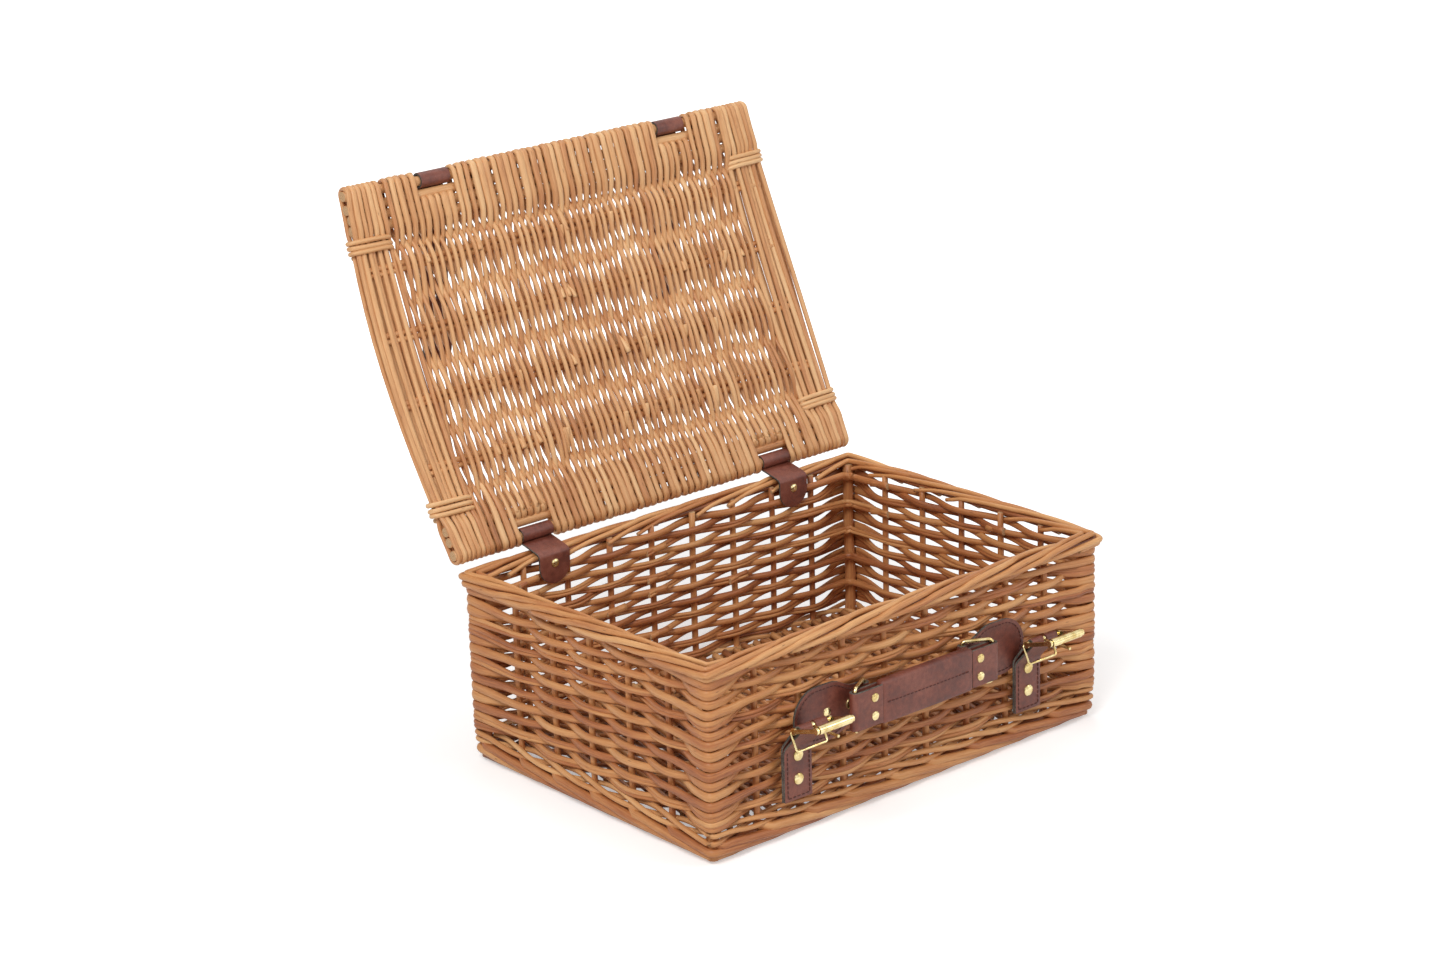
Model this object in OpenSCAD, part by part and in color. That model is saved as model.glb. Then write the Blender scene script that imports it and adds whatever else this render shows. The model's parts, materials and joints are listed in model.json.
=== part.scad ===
// Willow hamper: a woven box on a foot border, with a hinged woven lid, leather
// straps and a leather carrying handle on brass fittings. Shown with the lid open.
// Millimetres, +Z up, the front faces -Y. The origin is under the middle of the whole piece.

/* [Basket] */
// Width over the woven side walls
body_w = 390; // [340:2:440]
// Depth over the woven front and back walls
body_d = 274; // [240:2:310]
// Height to the top of the rim border
body_h = 150; // [120:1:190]
// Upright stakes between the corner posts of the front and back walls
front_stakes = 8; // [6:1:10]
// Upright stakes between the corner posts of each side wall
side_stakes = 5; // [3:1:7]
// Diameter of the upright stakes
stake_d = 5; // [4:0.5:6]
// Diameter of the corner posts
post_d = 9; // [7:0.5:11]
// Thickness of the weaving rods
weaver_t = 3.4; // [2.6:0.2:4]
// Height of one row of weaving
row_h = 5.6; // [4.6:0.2:8]
// Diameter of the rods of the rim border
rim_rod_d = 5.6; // [4.6:0.2:6.4]
// How far the rim border stands out past the walls
rim_overhang = 5; // [3:0.5:7]
// Diameter of the rods of the foot border
foot_rod_d = 7.6; // [6:0.2:9]

/* [Lid] */
// Width of the lid
lid_w = 397; // [350:1:440]
// Distance from the hinge rod to the frontmost rod
lid_reach = 278; // [250:1:310]
// Angle that the lid stands open from closed
lid_open = 114; // [95:1:120]
// Diameter of the rods along the front and back edges
edge_rod_d = 8; // [7:0.25:9]
// Diameter of the lid's cross sticks
lid_stick_d = 6; // [5:0.5:7]
// Place of the first cross stick from the hinge rod
lid_stick_first = 66; // [50:1:80]
// Distance between the cross sticks
lid_stick_pitch = 51; // [40:1:56]
// Rise of the lid's middle above its edges
lid_dome = 8; // [0:1:10]
// Width of one band of the lid's weaving
lid_band_w = 7.2; // [5:0.2:10]
// Number of rods bundled along each side edge
side_rods = 4; // [2:1:5]
// Length of the four ties along the side edges
tie_len = 16; // [10:1:24]
// Distance from the rods of the back edge to the ties next to them
tie_inset = 6; // [1:0.5:20]

/* [Straps] */
// Thickness of the strap leather
leather_t = 2; // [1.6:0.1:2.4]
// Width of the closing straps
strap_w = 27; // [20:1:30]
// Length of a closing strap below its rod
strap_len = 150; // [120:1:170]
// Distance of the closing straps and buckles from the middle
strap_x = 116; // [100:1:130]
// Width of the hinge straps
hinge_strap_w = 29; // [20:1:34]
// Distance of the hinge straps from the middle
hinge_strap_x = 121; // [100:1:140]
// Thickness of the hinge leather
hinge_leather_t = 1.6; // [1.2:0.1:2]
// How far a hinge strap hangs below the rim
hinge_strap_drop = 24; // [18:1:40]
// Height of the hinge rod's axis above the rim
hinge_lift = 11; // [10:0.5:14]
// Distance of the hinge rod's axis behind the rim
hinge_back = 3; // [0:0.5:6]

/* [Buckles] */
// Width of a buckle chape
chape_w = 26; // [20:1:28]
// Height of a chape's lower end
chape_z = 30; // [24:1:40]
// Height at which a chape leaves the wall
chape_bend_z = 72; // [64:1:76]
// Height of the buckle's pivot
buckle_z = 91; // [84:1:96]
// Distance of the buckle's pivot from the wall
buckle_out = 21; // [16:0.5:26]
// Length of a buckle from its pivot to its roller
buckle_len = 24; // [20:0.5:28]
// Upward tilt of a buckle
buckle_tilt = 17; // [0:1:25]
// Length of the roller
roller_len = 30; // [28:0.5:32]
// Outer diameter of the roller
roller_d = 6.4; // [5.6:0.2:7]
// Diameter of the buckle's pivot and roller axle
buckle_pin_d = 2.6; // [2.2:0.1:3]
// Length of the keeper loop from its back wire to its front wire
keeper_len = 15; // [12:0.5:17]
// Diameter of the keeper's wire
keeper_wire_d = 1.8; // [1.4:0.1:2.2]

/* [Handle] */
// Height of the handle's middle line
handle_z = 86; // [80:1:92]
// Length of the handle over its end loops
handle_len = 146; // [130:1:160]
// Height of the grip
grip_h = 33; // [26:1:36]
// Thickness of the grip
grip_t = 8; // [6:0.5:10]
// Length of each end loop
loop_len = 28; // [24:1:34]
// Height of each end loop
loop_h = 29; // [24:1:30]
// Diameter of the wire of the handle rings
ring_wire_d = 2.8; // [2.2:0.1:3.2]
// Distance between the two upright wires of a ring
ring_len = 23; // [20:0.5:26]
// Angle of a ring from the wall
ring_tilt = 30; // [20:1:40]
// Height of the rounded outer end of a handle plate
plate_h = 43; // [36:1:46]
// Length of a handle plate
plate_len = 66; // [56:1:72]

/* [Hidden] */
$fn = 32;
eps = 0.01;

// Clearances
weave_gap = 0.1;     // between a weaving rod and the stake it passes
running_gap = 0.06;  // between a pin or rod and the bore it turns in
seat_gap = 0.1;      // between leather or brass and what it lies on
base_gap = 0.6;      // between the base and the walls round it
soft_gap = 0.35;     // between a moving strap's eye and the next rod
side_gap = 2.5;      // between the lid's weaving and its side rods
tie_gap = 0.7;       // between a tie and the side rods, which curve inside it
slot_gap = 0.6;      // round the keeper in its chape, the prong, and the ring in its loop
row_lap = 0.3;       // by which one woven row sinks into the next
rod_lap = 0.2;       // by which one border rod sinks into the next
eye_inset = 0.15;    // by which a strap starts inside the round of its eye

// Basket sections
post_wrap = post_d / 2 + weave_gap + weaver_t;
stake_wrap = stake_d / 2 + weave_gap + weaver_t;
wall_x = body_w / 2 - post_wrap;
wall_y = body_d / 2 - post_wrap;
pass_half = stake_d * 0.6;  // half the flat where a weaving rod passes a stake
rim_rows = 2;
rim_cols = 3;
rim_pitch = rim_rod_d - rod_lap;
rim_h = rim_rows * rim_pitch + rod_lap;
foot_rows = 2;
foot_cols = 2;
foot_flat = 0.4;  // worn off the underside of the foot border, which it stands on
foot_pitch = foot_rod_d - rod_lap;
foot_h = foot_rows * foot_pitch + rod_lap - foot_flat;
weave_z = foot_h + seat_gap;
weave_top = body_h - rim_h - seat_gap;
row_count = round((weave_top - weave_z) / row_h);
row_step = (weave_top - weave_z) / row_count;
front_face = wall_y + stake_wrap;

// Base sections: the bands run from front to back round sticks along X
base_half_x = wall_x - post_wrap - base_gap;
base_half_y = wall_y - stake_wrap - base_gap;
base_mid_z = weave_z + stake_wrap;
base_bands = 2 * floor(base_half_x / lid_band_w);
base_band_w = 2 * base_half_x / base_bands;

// Lid sections
hinge_y = body_d / 2 + rim_overhang + hinge_back;
hinge_z = body_h + hinge_lift;
eye_pitch = edge_rod_d + running_gap + leather_t + soft_gap;
edge_pitch = edge_rod_d + weave_gap;
back_rods = 3;
front_rods = 4;
lid_stick_wrap = lid_stick_d / 2 + weave_gap + weaver_t;
side_pitch = edge_rod_d - 0.8;
side_rod_t = side_pitch - seat_gap;
side_w = side_rods * side_pitch;
lid_weave_half = lid_w / 2 - side_w - side_gap;
lid_bands = 2 * floor(lid_weave_half / lid_band_w);
stick_rows = floor((lid_reach - edge_place(front_rods) - lid_stick_first)
    / lid_stick_pitch) + 1;
side_start = edge_place(back_rods - 1) + edge_rod_d / 2 + seat_gap;
side_end = lid_reach - edge_place(front_rods - 1) - edge_rod_d / 2 - seat_gap;
tie_t = 2.2;
tie_places = [side_start + tie_inset + tie_len / 2, side_end - 1 - tie_len / 2];

// Rivets, straps and the fittings of the front wall
rivet_d = 9;
small_rivet_d = 7;
rivet_shank_d = 3;
hinge_rivet_drop = 8;
hinge_rivet_z = body_h - hinge_rivet_drop;
chape_rivet_up = 16;
chape_rivet_pitch = 18;
chape_rivet_z = [chape_z + chape_rivet_up, chape_z + chape_rivet_up + chape_rivet_pitch];
strap_holes = 4;
strap_hole_d = 4;
strap_hole_first = 24;
strap_hole_pitch = 16;
chape_t = 2 * leather_t;
plate_face = front_face + seat_gap + leather_t;
chape_mid = plate_face + seat_gap + chape_t / 2;
pivot_y = -(front_face + buckle_out);
chape_ring_r = buckle_pin_d / 2 + running_gap + leather_t;
arm_t = 2;
arm_w = 3;
arm_x = roller_len / 2 + slot_gap + arm_t / 2;
roller_y = pivot_y - buckle_len * cos(buckle_tilt);
roller_z = buckle_z + buckle_len * sin(buckle_tilt);
prong_d = 2.2;
prong_eye_t = 1.2;
prong_past = 1;  // by which the prong's tip passes the roller
prong_slot_w = prong_d + 2 * slot_gap;
keeper_half = chape_w / 2 + slot_gap + keeper_wire_d / 2;
keeper_up = 6;  // from the pivot down the chape's back to the keeper's back wire
keeper_tilt = 65;
keeper_bend = 2;
keeper_rise = chape_t / 2 + 2 * seat_gap + keeper_wire_d / 2;
lean_angle = atan2(buckle_z - chape_bend_z, -pivot_y - chape_mid);
keeper_y = pivot_y + keeper_up * cos(lean_angle) + keeper_rise * sin(lean_angle);
keeper_z = buckle_z - keeper_up * sin(lean_angle) + keeper_rise * cos(lean_angle);

// Handle
bar_wall = ring_wire_d / 2 + running_gap + leather_t;
plate_bar_y = -(front_face + seat_gap + bar_wall);
ring_bar_x = handle_len / 2 - leather_t - slot_gap - ring_wire_d / 2;
ring_bar_y = plate_bar_y - ring_len * sin(ring_tilt);
plate_bar_x = ring_bar_x - ring_len * cos(ring_tilt);
ring_bend = 3;
ring_half = loop_h / 2 + slot_gap + ring_wire_d / 2 + 2 * seat_gap;
plate_loop_h = 2 * (ring_half - ring_bend);
loop_slot_t = ring_wire_d + 2 * slot_gap;
loop_slot_len = 15;
loop_t = loop_slot_t + 2 * leather_t;
grip_corner = 3;
eyelet_d = 9;
eyelet_tube_d = 5.2;
eyelet_bore = 3.6;
eyelet_from_bar = 12;
plate_rivet_from_bar = 35;
plate_neck = 8;    // from the bar to where a plate starts to widen
plate_flare = 14;  // from its full height to the middle of its rounded end
handle_rivet_inset = 8;
handle_rivet_pitch = 14;

// The origin is under the middle of the whole piece, front fittings and open lid together
back_reach = hinge_y + (lid_reach + edge_rod_d / 2) * sin(lid_open - 90)
    + (edge_rod_d / 2 + weave_gap + weaver_t) * cos(lid_open - 90);
front_reach = -roller_y + roller_d / 2;
y_shift = (front_reach - back_reach) / 2;

module place() {
    translate([0, y_shift, 0]) children();
}

// ---- 2D helpers ----

function unit(v) = v / norm(v);
function left_of(v) = [-v[1], v[0]];
function bend_normal(a, b) = (left_of(a) + left_of(b)) / (1 + a * b);
function path_normal(p, i) =
    let (last = len(p) - 1)
    i == 0 ? left_of(unit(p[1] - p[0])) :
    i == last ? left_of(unit(p[last] - p[last - 1])) :
    bend_normal(unit(p[i] - p[i - 1]), unit(p[i + 1] - p[i]));
// The outline of a band of even thickness t along the path p
function band(p, t) = concat(
    [for (i = [0 : len(p) - 1]) p[i] + path_normal(p, i) * t / 2],
    [for (i = [len(p) - 1 : -1 : 0]) p[i] - path_normal(p, i) * t / 2]);
function arc(c, r, from, to, steps) =
    [for (i = [0 : steps]) let (a = from + (to - from) * i / steps) c + r * [cos(a), sin(a)]];

module rounded_rect(w, h, r) {
    square([w - 2 * r, h], center = true);
    square([w, h - 2 * r], center = true);
    for (x = [-1, 1], y = [-1, 1])
        translate([x * (w / 2 - r), y * (h / 2 - r)]) circle(r);
}

// A 2D profile in Y and Z, pushed w wide along X about its middle
module across(w) {
    rotate([90, 0, 90]) linear_extrude(w, center = true) children();
}

// A rod along X
module rod_x(length, d) {
    rotate([0, 90, 0]) cylinder(d = d, h = length, center = true);
}

// A domed rivet with its head on +Z and its shank below
module rivet(d, shank) {
    rise = d * 0.24;
    steps = 5;
    rotate_extrude()
        polygon(concat([[0, 0]], [for (i = [0 : steps])
            [d / 2 * cos(90 * i / steps), rise * sin(90 * i / steps)]]));
    translate([0, 0, -shank]) cylinder(d = rivet_shank_d, h = shank + eps);
}

// Turns +Z to -Y, so that a rivet stands out of the front wall
module on_front(x, y, z) {
    translate([x, y, z]) rotate([90, 0, 0]) children();
}

// ---- Woven walls ----

// The middle line of one woven row between two corner posts; phase picks its first side
function row_path(length, stakes, phase) =
    let (
        bay = length / (stakes + 1),
        mid = stake_wrap - weaver_t / 2,
        post_mid = post_wrap - weaver_t / 2,
        round_mid = post_mid / cos(15),
        turn = post_mid * tan(12),
        outer = phase % 2 == 0,
        outer_end = (stakes + 1 + phase) % 2 == 0
    )
    concat(
        outer ? arc([-length / 2, 0], round_mid, 200, 290, 3)
            : [[-length / 2 - post_d, post_mid], [-length / 2 + turn, post_mid]],
        [for (i = [1 : stakes], s = [-1, 1])
            [-length / 2 + i * bay + s * pass_half, ((i + phase) % 2 == 0 ? -1 : 1) * mid]],
        outer_end ? arc([length / 2, 0], round_mid, 250, 340, 3)
            : [[length / 2 - turn, post_mid], [length / 2 + post_d, post_mid]]
    );

// One wall in its own frame: along X, outside towards -Y, ending in mitres at the posts
module woven_wall(length, stakes) {
    reach = 3 * post_wrap;
    intersection() {
        union() {
            for (k = [0 : row_count - 1])
                translate([0, 0, weave_z + k * row_step])
                    linear_extrude(row_step + (k < row_count - 1 ? row_lap : 0))
                        polygon(band(row_path(length, stakes, k), weaver_t));
        }
        translate([0, 0, weave_z - 1])
            linear_extrude(weave_top - weave_z + 2)
                polygon([
                    [-length / 2 - reach, -reach], [length / 2 + reach, -reach],
                    [length / 2 - reach, reach], [-length / 2 + reach, reach]
                ]);
    }
}

// A border side: rods in rows and columns that run along X and end in mitres
module border_side(length, d, pitch, cols, rows, cut) {
    depth = cols * pitch + d - pitch;
    height = rows * pitch + d - pitch;
    intersection() {
        across(length)
            difference() {
                union() {
                    for (c = [0 : cols - 1], r = [0 : rows - 1])
                        translate([d / 2 + c * pitch, d / 2 + r * pitch]) circle(d = d);
                    translate([d / 2, d / 2])
                        square([depth - d, height - d]);
                }
                translate([-1, -1]) square([depth + 2, 1 + cut]);
            }
        translate([0, 0, -1]) linear_extrude(height + 2)
            polygon([
                [-length / 2, 0], [length / 2, 0],
                [length / 2 - depth, depth], [-length / 2 + depth, depth]
            ]);
    }
}

// Four border sides round a rectangle of outer size w by d, standing on height z
module border(w, d, z, rod_d, pitch, cols, rows, cut) {
    for (s = [0, 180]) {
        rotate([0, 0, s]) translate([0, -d / 2, z - cut])
            border_side(w, rod_d, pitch, cols, rows, cut);
        rotate([0, 0, s + 90]) translate([0, -w / 2, z - cut])
            border_side(d, rod_d, pitch, cols, rows, cut);
    }
}

module weave_front() {
    color("peru") place() translate([0, -wall_y, 0]) woven_wall(2 * wall_x, front_stakes);
}

module weave_back() {
    color("peru") place()
        rotate([0, 0, 180]) translate([0, -wall_y, 0]) woven_wall(2 * wall_x, front_stakes);
}

module weave_left() {
    color("peru") place()
        rotate([0, 0, -90]) translate([0, -wall_x, 0]) woven_wall(2 * wall_y, side_stakes);
}

module weave_right() {
    color("peru") place()
        rotate([0, 0, 90]) translate([0, -wall_x, 0]) woven_wall(2 * wall_y, side_stakes);
}

module top_border() {
    color("burlywood") place()
        border(body_w + 2 * rim_overhang, body_d + 2 * rim_overhang, body_h - rim_h,
            rim_rod_d, rim_pitch, rim_cols, rim_rows, 0);
}

module foot_border() {
    color("sienna") place()
        border(body_w, body_d, 0, foot_rod_d, foot_pitch, foot_cols, foot_rows, foot_flat);
}

module corner_posts() {
    color("tan") place()
        for (x = [-1, 1], y = [-1, 1])
            translate([x * wall_x, y * wall_y, weave_z])
                cylinder(d = post_d, h = weave_top - weave_z);
}

module wall_stakes() {
    color("peru") place() {
        for (i = [1 : front_stakes], y = [-1, 1])
            translate([-wall_x + i * 2 * wall_x / (front_stakes + 1), y * wall_y, weave_z])
                cylinder(d = stake_d, h = weave_top - weave_z);
        for (i = [1 : side_stakes], x = [-1, 1])
            translate([x * wall_x, stick_place(i), weave_z])
                cylinder(d = stake_d, h = weave_top - weave_z);
    }
}

// ---- Base ----

function stick_place(i) = -wall_y + i * 2 * wall_y / (side_stakes + 1);

// The middle line of a base band: it rides over and under the sticks from front to back
function base_path(phase) =
    let (mid = stake_wrap - weaver_t / 2)
    concat(
        [[-base_half_y, (phase % 2 == 0 ? -1 : 1) * mid]],
        [for (i = [1 : side_stakes], s = [-1, 1])
            [stick_place(i) + s * pass_half, ((i + phase) % 2 == 0 ? -1 : 1) * mid]],
        [[base_half_y, ((side_stakes + 1 + phase) % 2 == 0 ? -1 : 1) * mid]]
    );

module base_sticks() {
    color("sienna") place()
        for (i = [1 : side_stakes])
            translate([0, stick_place(i), base_mid_z]) rod_x(2 * base_half_x, stake_d);
}

module base_weave() {
    color("sienna") place()
        for (k = [0 : base_bands - 1])
            translate([-base_half_x + (k + 0.5) * base_band_w, 0, base_mid_z])
                across(base_band_w + (k > 0 && k < base_bands - 1 ? row_lap : 0))
                    polygon(band(base_path(k), weaver_t));
}

// ---- Lid ----

// The lid's own frame: X across, Y from the hinge rod to the front edge, Z out of its top
module lid_frame() {
    place() translate([0, hinge_y, hinge_z])
        rotate([180 - lid_open, 0, 0]) mirror([0, 0, 1]) children();
}

function lid_rise(y) = lid_dome * (1 - pow(2 * y / lid_reach - 1, 2));

// Distance of an edge group's rod i from its outermost rod, which leaves room for the eyes
function edge_place(i) = i == 0 ? 0 : eye_pitch + (i - 1) * edge_pitch;

// Places of the sticks under the weaving, from the hinge rod to the front
function lid_sticks() = concat(
    [for (i = [0 : back_rods - 1]) edge_place(i)],
    [for (i = [0 : stick_rows - 1]) lid_stick_first + i * lid_stick_pitch],
    [for (i = [front_rods - 1 : -1 : 0]) lid_reach - edge_place(i)]);

// The bands pass the rods of an edge group on one side, and change sides at each stick
function lid_side(i) =
    i < back_rods ? 0 : i < back_rods + stick_rows ? i - back_rods + 1 : stick_rows + 1;
function lid_wrap(i) = i < back_rods || i >= back_rods + stick_rows
    ? edge_rod_d / 2 + weave_gap + weaver_t / 2 : lid_stick_wrap - weaver_t / 2;
function lid_path(phase, first, last) = [
    for (i = [first : last], s = [-1, 1])
        let (y = lid_sticks()[i], flat = (i == first && s < 0) || (i == last && s > 0)
            ? edge_rod_d / 4 : edge_rod_d * 0.4)
        [y + s * flat, lid_rise(y) + ((lid_side(i) + phase) % 2 == 0 ? -1 : 1) * lid_wrap(i)]
];

function near(x, places, reach) = len([for (p = places) if (abs(x - p) < reach) 1]) > 0;

module lid_weave() {
    sticks = len(lid_sticks());
    pitch = 2 * lid_weave_half / lid_bands;
    color("burlywood") lid_frame()
        for (k = [0 : lid_bands - 1]) {
            x = -lid_weave_half + (k + 0.5) * pitch;
            first = near(x, [-hinge_strap_x, hinge_strap_x], hinge_strap_w / 2 + pitch) ? 2 : 0;
            last = near(x, [-strap_x, strap_x], strap_w / 2 + pitch) ? 3 : 1;
            translate([x, 0, 0])
                across(pitch + (k > 0 && k < lid_bands - 1 ? row_lap : 0))
                    polygon(band(lid_path(k, first, sticks - last), weaver_t));
        }
}

module lid_hinge_rod() {
    color("tan") lid_frame() rod_x(lid_w, edge_rod_d);
}

module lid_back_rods() {
    color("tan") lid_frame()
        for (i = [1 : back_rods - 1])
            translate([0, edge_place(i), lid_rise(edge_place(i))]) rod_x(lid_w, edge_rod_d);
}

module lid_front_rods() {
    color("tan") lid_frame()
        for (i = [0 : front_rods - 1])
            let (y = lid_reach - edge_place(i))
                translate([0, y, lid_rise(y)]) rod_x(lid_w, edge_rod_d);
}

module lid_cross_sticks() {
    color("peru") lid_frame()
        for (i = [0 : stick_rows - 1])
            let (y = lid_stick_first + i * lid_stick_pitch)
                translate([0, y, lid_rise(y)])
                    rod_x(lid_w - 2 * side_w - 2 * seat_gap, lid_stick_d);
}

// The middle line of a side rod, between the two groups of edge rods
side_path = [for (i = [0 : 6]) let (y = side_start + (side_end - side_start) * i / 6)
    [y, lid_rise(y)]];

module lid_side_rods() {
    color("burlywood") lid_frame()
        for (s = [-1, 1], i = [0 : side_rods - 1])
            translate([s * (lid_w / 2 - (i + 0.5) * side_pitch), 0, 0])
                across(side_rod_t) polygon(band(side_path, side_rod_t));
}

module lid_ties() {
    inner_w = side_w + 2 * seat_gap;
    inner_t = side_rod_t + 2 * tie_gap;
    color("goldenrod") lid_frame()
        for (s = [-1, 1], y = tie_places)
            translate([s * (lid_w / 2 - side_w / 2), y, lid_rise(y)])
                rotate([atan(-4 * lid_dome / lid_reach * (2 * y / lid_reach - 1)) + 90, 0, 0])
                    linear_extrude(tie_len, center = true)
                        difference() {
                            rounded_rect(inner_w + 2 * tie_t, inner_t + 2 * tie_t, tie_t + 1);
                            rounded_rect(inner_w, inner_t, 1);
                        }
}

// ---- Leather straps of the lid ----

// A strap of width w with an eye of inner radius r round the X axis, and a band from it
module eye_strap(w, r, t, path) {
    difference() {
        union() {
            rod_x(w, 2 * (r + t));
            across(w) polygon(band(path, t));
        }
        rod_x(w + 1, 2 * r);
    }
}

module hinge_straps() {
    r = edge_rod_d / 2 + running_gap;
    tail = r + hinge_leather_t / 2 - eye_inset;
    wall = wall_y - stake_wrap - seat_gap - hinge_leather_t / 2;
    drop = [wall - hinge_y, body_h + hinge_leather_t - hinge_z];
    lean = atan2(drop[1], drop[0]) + acos(tail / norm(drop));
    end = [drop[0], -hinge_lift - hinge_strap_drop];
    color("saddlebrown") place()
        for (x = [-hinge_strap_x, hinge_strap_x])
            difference() {
                intersection() {
                    translate([x, hinge_y, hinge_z])
                        eye_strap(hinge_strap_w, r, hinge_leather_t,
                            [tail * [cos(lean), sin(lean)], drop, end]);
                    translate([x, wall_y, body_h - hinge_strap_drop + hinge_strap_w / 2])
                        rotate([90, 0, 0]) linear_extrude(80, center = true) {
                            circle(hinge_strap_w / 2);
                            translate([-hinge_strap_w / 2, 0]) square([hinge_strap_w, 80]);
                        }
                }
                on_front(x, wall, hinge_rivet_z)
                    cylinder(d = rivet_shank_d + 2 * running_gap, h = 10, center = true);
            }
}

module hinge_rivets() {
    face = wall_y - stake_wrap - seat_gap - hinge_leather_t;
    color("gold") place()
        for (x = [-hinge_strap_x, hinge_strap_x])
            on_front(x, face, hinge_rivet_z) rivet(small_rivet_d, hinge_leather_t);
}

// A closing strap hangs from the frontmost rod behind the open lid
module closing_strap(x) {
    r = edge_rod_d / 2 + running_gap;
    mid = r + leather_t / 2;
    tail = mid - eye_inset;
    rod = [hinge_y + lid_reach * sin(lid_open - 90), hinge_z + lid_reach * cos(lid_open - 90)];
    color("saddlebrown") place()
        difference() {
            intersection() {
                translate([x, rod[0], rod[1]])
                    eye_strap(strap_w, r, leather_t, [[tail, 0], [tail, -strap_len]]);
                translate([x, rod[0], rod[1] - strap_len])
                    rotate([90, 0, 0]) linear_extrude(40, center = true)
                        polygon([
                            [-strap_w / 4, 0], [strap_w / 4, 0],
                            [strap_w / 2, strap_w / 2], [strap_w / 2, strap_len + 20],
                            [-strap_w / 2, strap_len + 20], [-strap_w / 2, strap_w / 2]
                        ]);
            }
            for (i = [0 : strap_holes - 1])
                on_front(x, rod[0] + mid,
                        rod[1] - strap_len + strap_hole_first + i * strap_hole_pitch)
                    cylinder(d = strap_hole_d, h = 3 * leather_t, center = true);
        }
}

module closing_strap_left() {
    closing_strap(-strap_x);
}

module closing_strap_right() {
    closing_strap(strap_x);
}

// ---- Buckles ----

module buckle_chapes() {
    mid = -chape_mid;
    color("saddlebrown") place()
        for (x = [-strap_x, strap_x])
            difference() {
                translate([x, pivot_y, buckle_z])
                    across(chape_w)
                        difference() {
                            union() {
                                circle(chape_ring_r);
                                polygon(band([
                                    [0, 0], [mid - pivot_y, chape_bend_z - buckle_z],
                                    [mid - pivot_y, chape_z - buckle_z]
                                ], chape_t));
                            }
                            circle(buckle_pin_d / 2 + running_gap);
                        }
                translate([x - prong_slot_w / 2, pivot_y - 2 * chape_ring_r,
                        buckle_z - 2 * chape_ring_r])
                    cube([prong_slot_w, 3 * chape_ring_r - 0.6, 4 * chape_ring_r]);
                for (z = chape_rivet_z)
                    on_front(x, mid, z)
                        cylinder(d = rivet_shank_d + 2 * running_gap, h = 5 * chape_t, center = true);
            }
}

module chape_rivets() {
    color("gold") place()
        for (x = [-strap_x, strap_x], z = chape_rivet_z)
            on_front(x, -chape_mid - chape_t / 2, z) rivet(rivet_d, chape_t + seat_gap);
}

// A closed frame of round wire in the plane of X and Y, from y = 0 to y = -length
module wire_frame(half, length, d, r) {
    for (y = [0, -length])
        translate([0, y, 0]) rod_x(2 * (half - r), d);
    for (s = [-1, 1]) {
        translate([s * half, -length / 2, 0])
            rotate([90, 0, 0]) cylinder(d = d, h = length - 2 * r, center = true);
        for (e = [-1, 1])
            translate([s * (half - r), -length / 2 + e * (length / 2 - r), 0])
                mirror([s < 0 ? 1 : 0, 0, 0]) mirror([0, e < 0 ? 1 : 0, 0])
                    rotate_extrude(angle = 90) translate([r, 0]) circle(d = d);
    }
}

module keeper(x) {
    color("gold") place()
        translate([x, keeper_y, keeper_z]) rotate([keeper_tilt, 0, 0])
            wire_frame(keeper_half, keeper_len, keeper_wire_d, keeper_bend);
}

module keeper_left() {
    keeper(-strap_x);
}

module keeper_right() {
    keeper(strap_x);
}

// The buckle's own frame: its pivot along X at the origin, its roller towards -Y
module buckle_place(x) {
    place() translate([x, pivot_y, buckle_z]) rotate([-buckle_tilt, 0, 0]) children();
}

module buckle_frame(x) {
    eye_d = buckle_pin_d + 2 * prong_eye_t;
    color("gold") buckle_place(x) {
        for (y = [0, -buckle_len])
            translate([0, y, 0]) rod_x(2 * arm_x, buckle_pin_d);
        for (s = [-1, 1])
            translate([s * arm_x, 0, 0]) across(arm_t) {
                circle(d = eye_d);
                translate([-buckle_len, 0]) circle(d = eye_d);
                translate([-buckle_len / 2, 0]) square([buckle_len, arm_w], center = true);
            }
    }
}

module buckle_frame_left() {
    buckle_frame(-strap_x);
}

module buckle_frame_right() {
    buckle_frame(strap_x);
}

module buckle_roller(x) {
    color("khaki") buckle_place(x) translate([0, -buckle_len, 0])
        across(roller_len)
            difference() {
                circle(d = roller_d);
                circle(d = buckle_pin_d + 2 * running_gap);
            }
}

module buckle_roller_left() {
    buckle_roller(-strap_x);
}

module buckle_roller_right() {
    buckle_roller(strap_x);
}

// The prong turns on the pivot inside the chape's slot and passes under the roller
module buckle_prong(x) {
    eye_r = buckle_pin_d / 2 + running_gap;
    tip = buckle_len * cos(buckle_tilt) + roller_d / 2 + prong_past;
    color("gold") place() translate([x, pivot_y, buckle_z]) {
        across(prong_d)
            difference() {
                circle(eye_r + prong_eye_t);
                circle(eye_r);
            }
        translate([0, -eye_r - prong_eye_t / 3, 0])
            rotate([90, 0, 0]) cylinder(d = prong_d, h = tip - eye_r);
    }
}

module buckle_prong_left() {
    buckle_prong(-strap_x);
}

module buckle_prong_right() {
    buckle_prong(strap_x);
}

// ---- Handle ----

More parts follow.
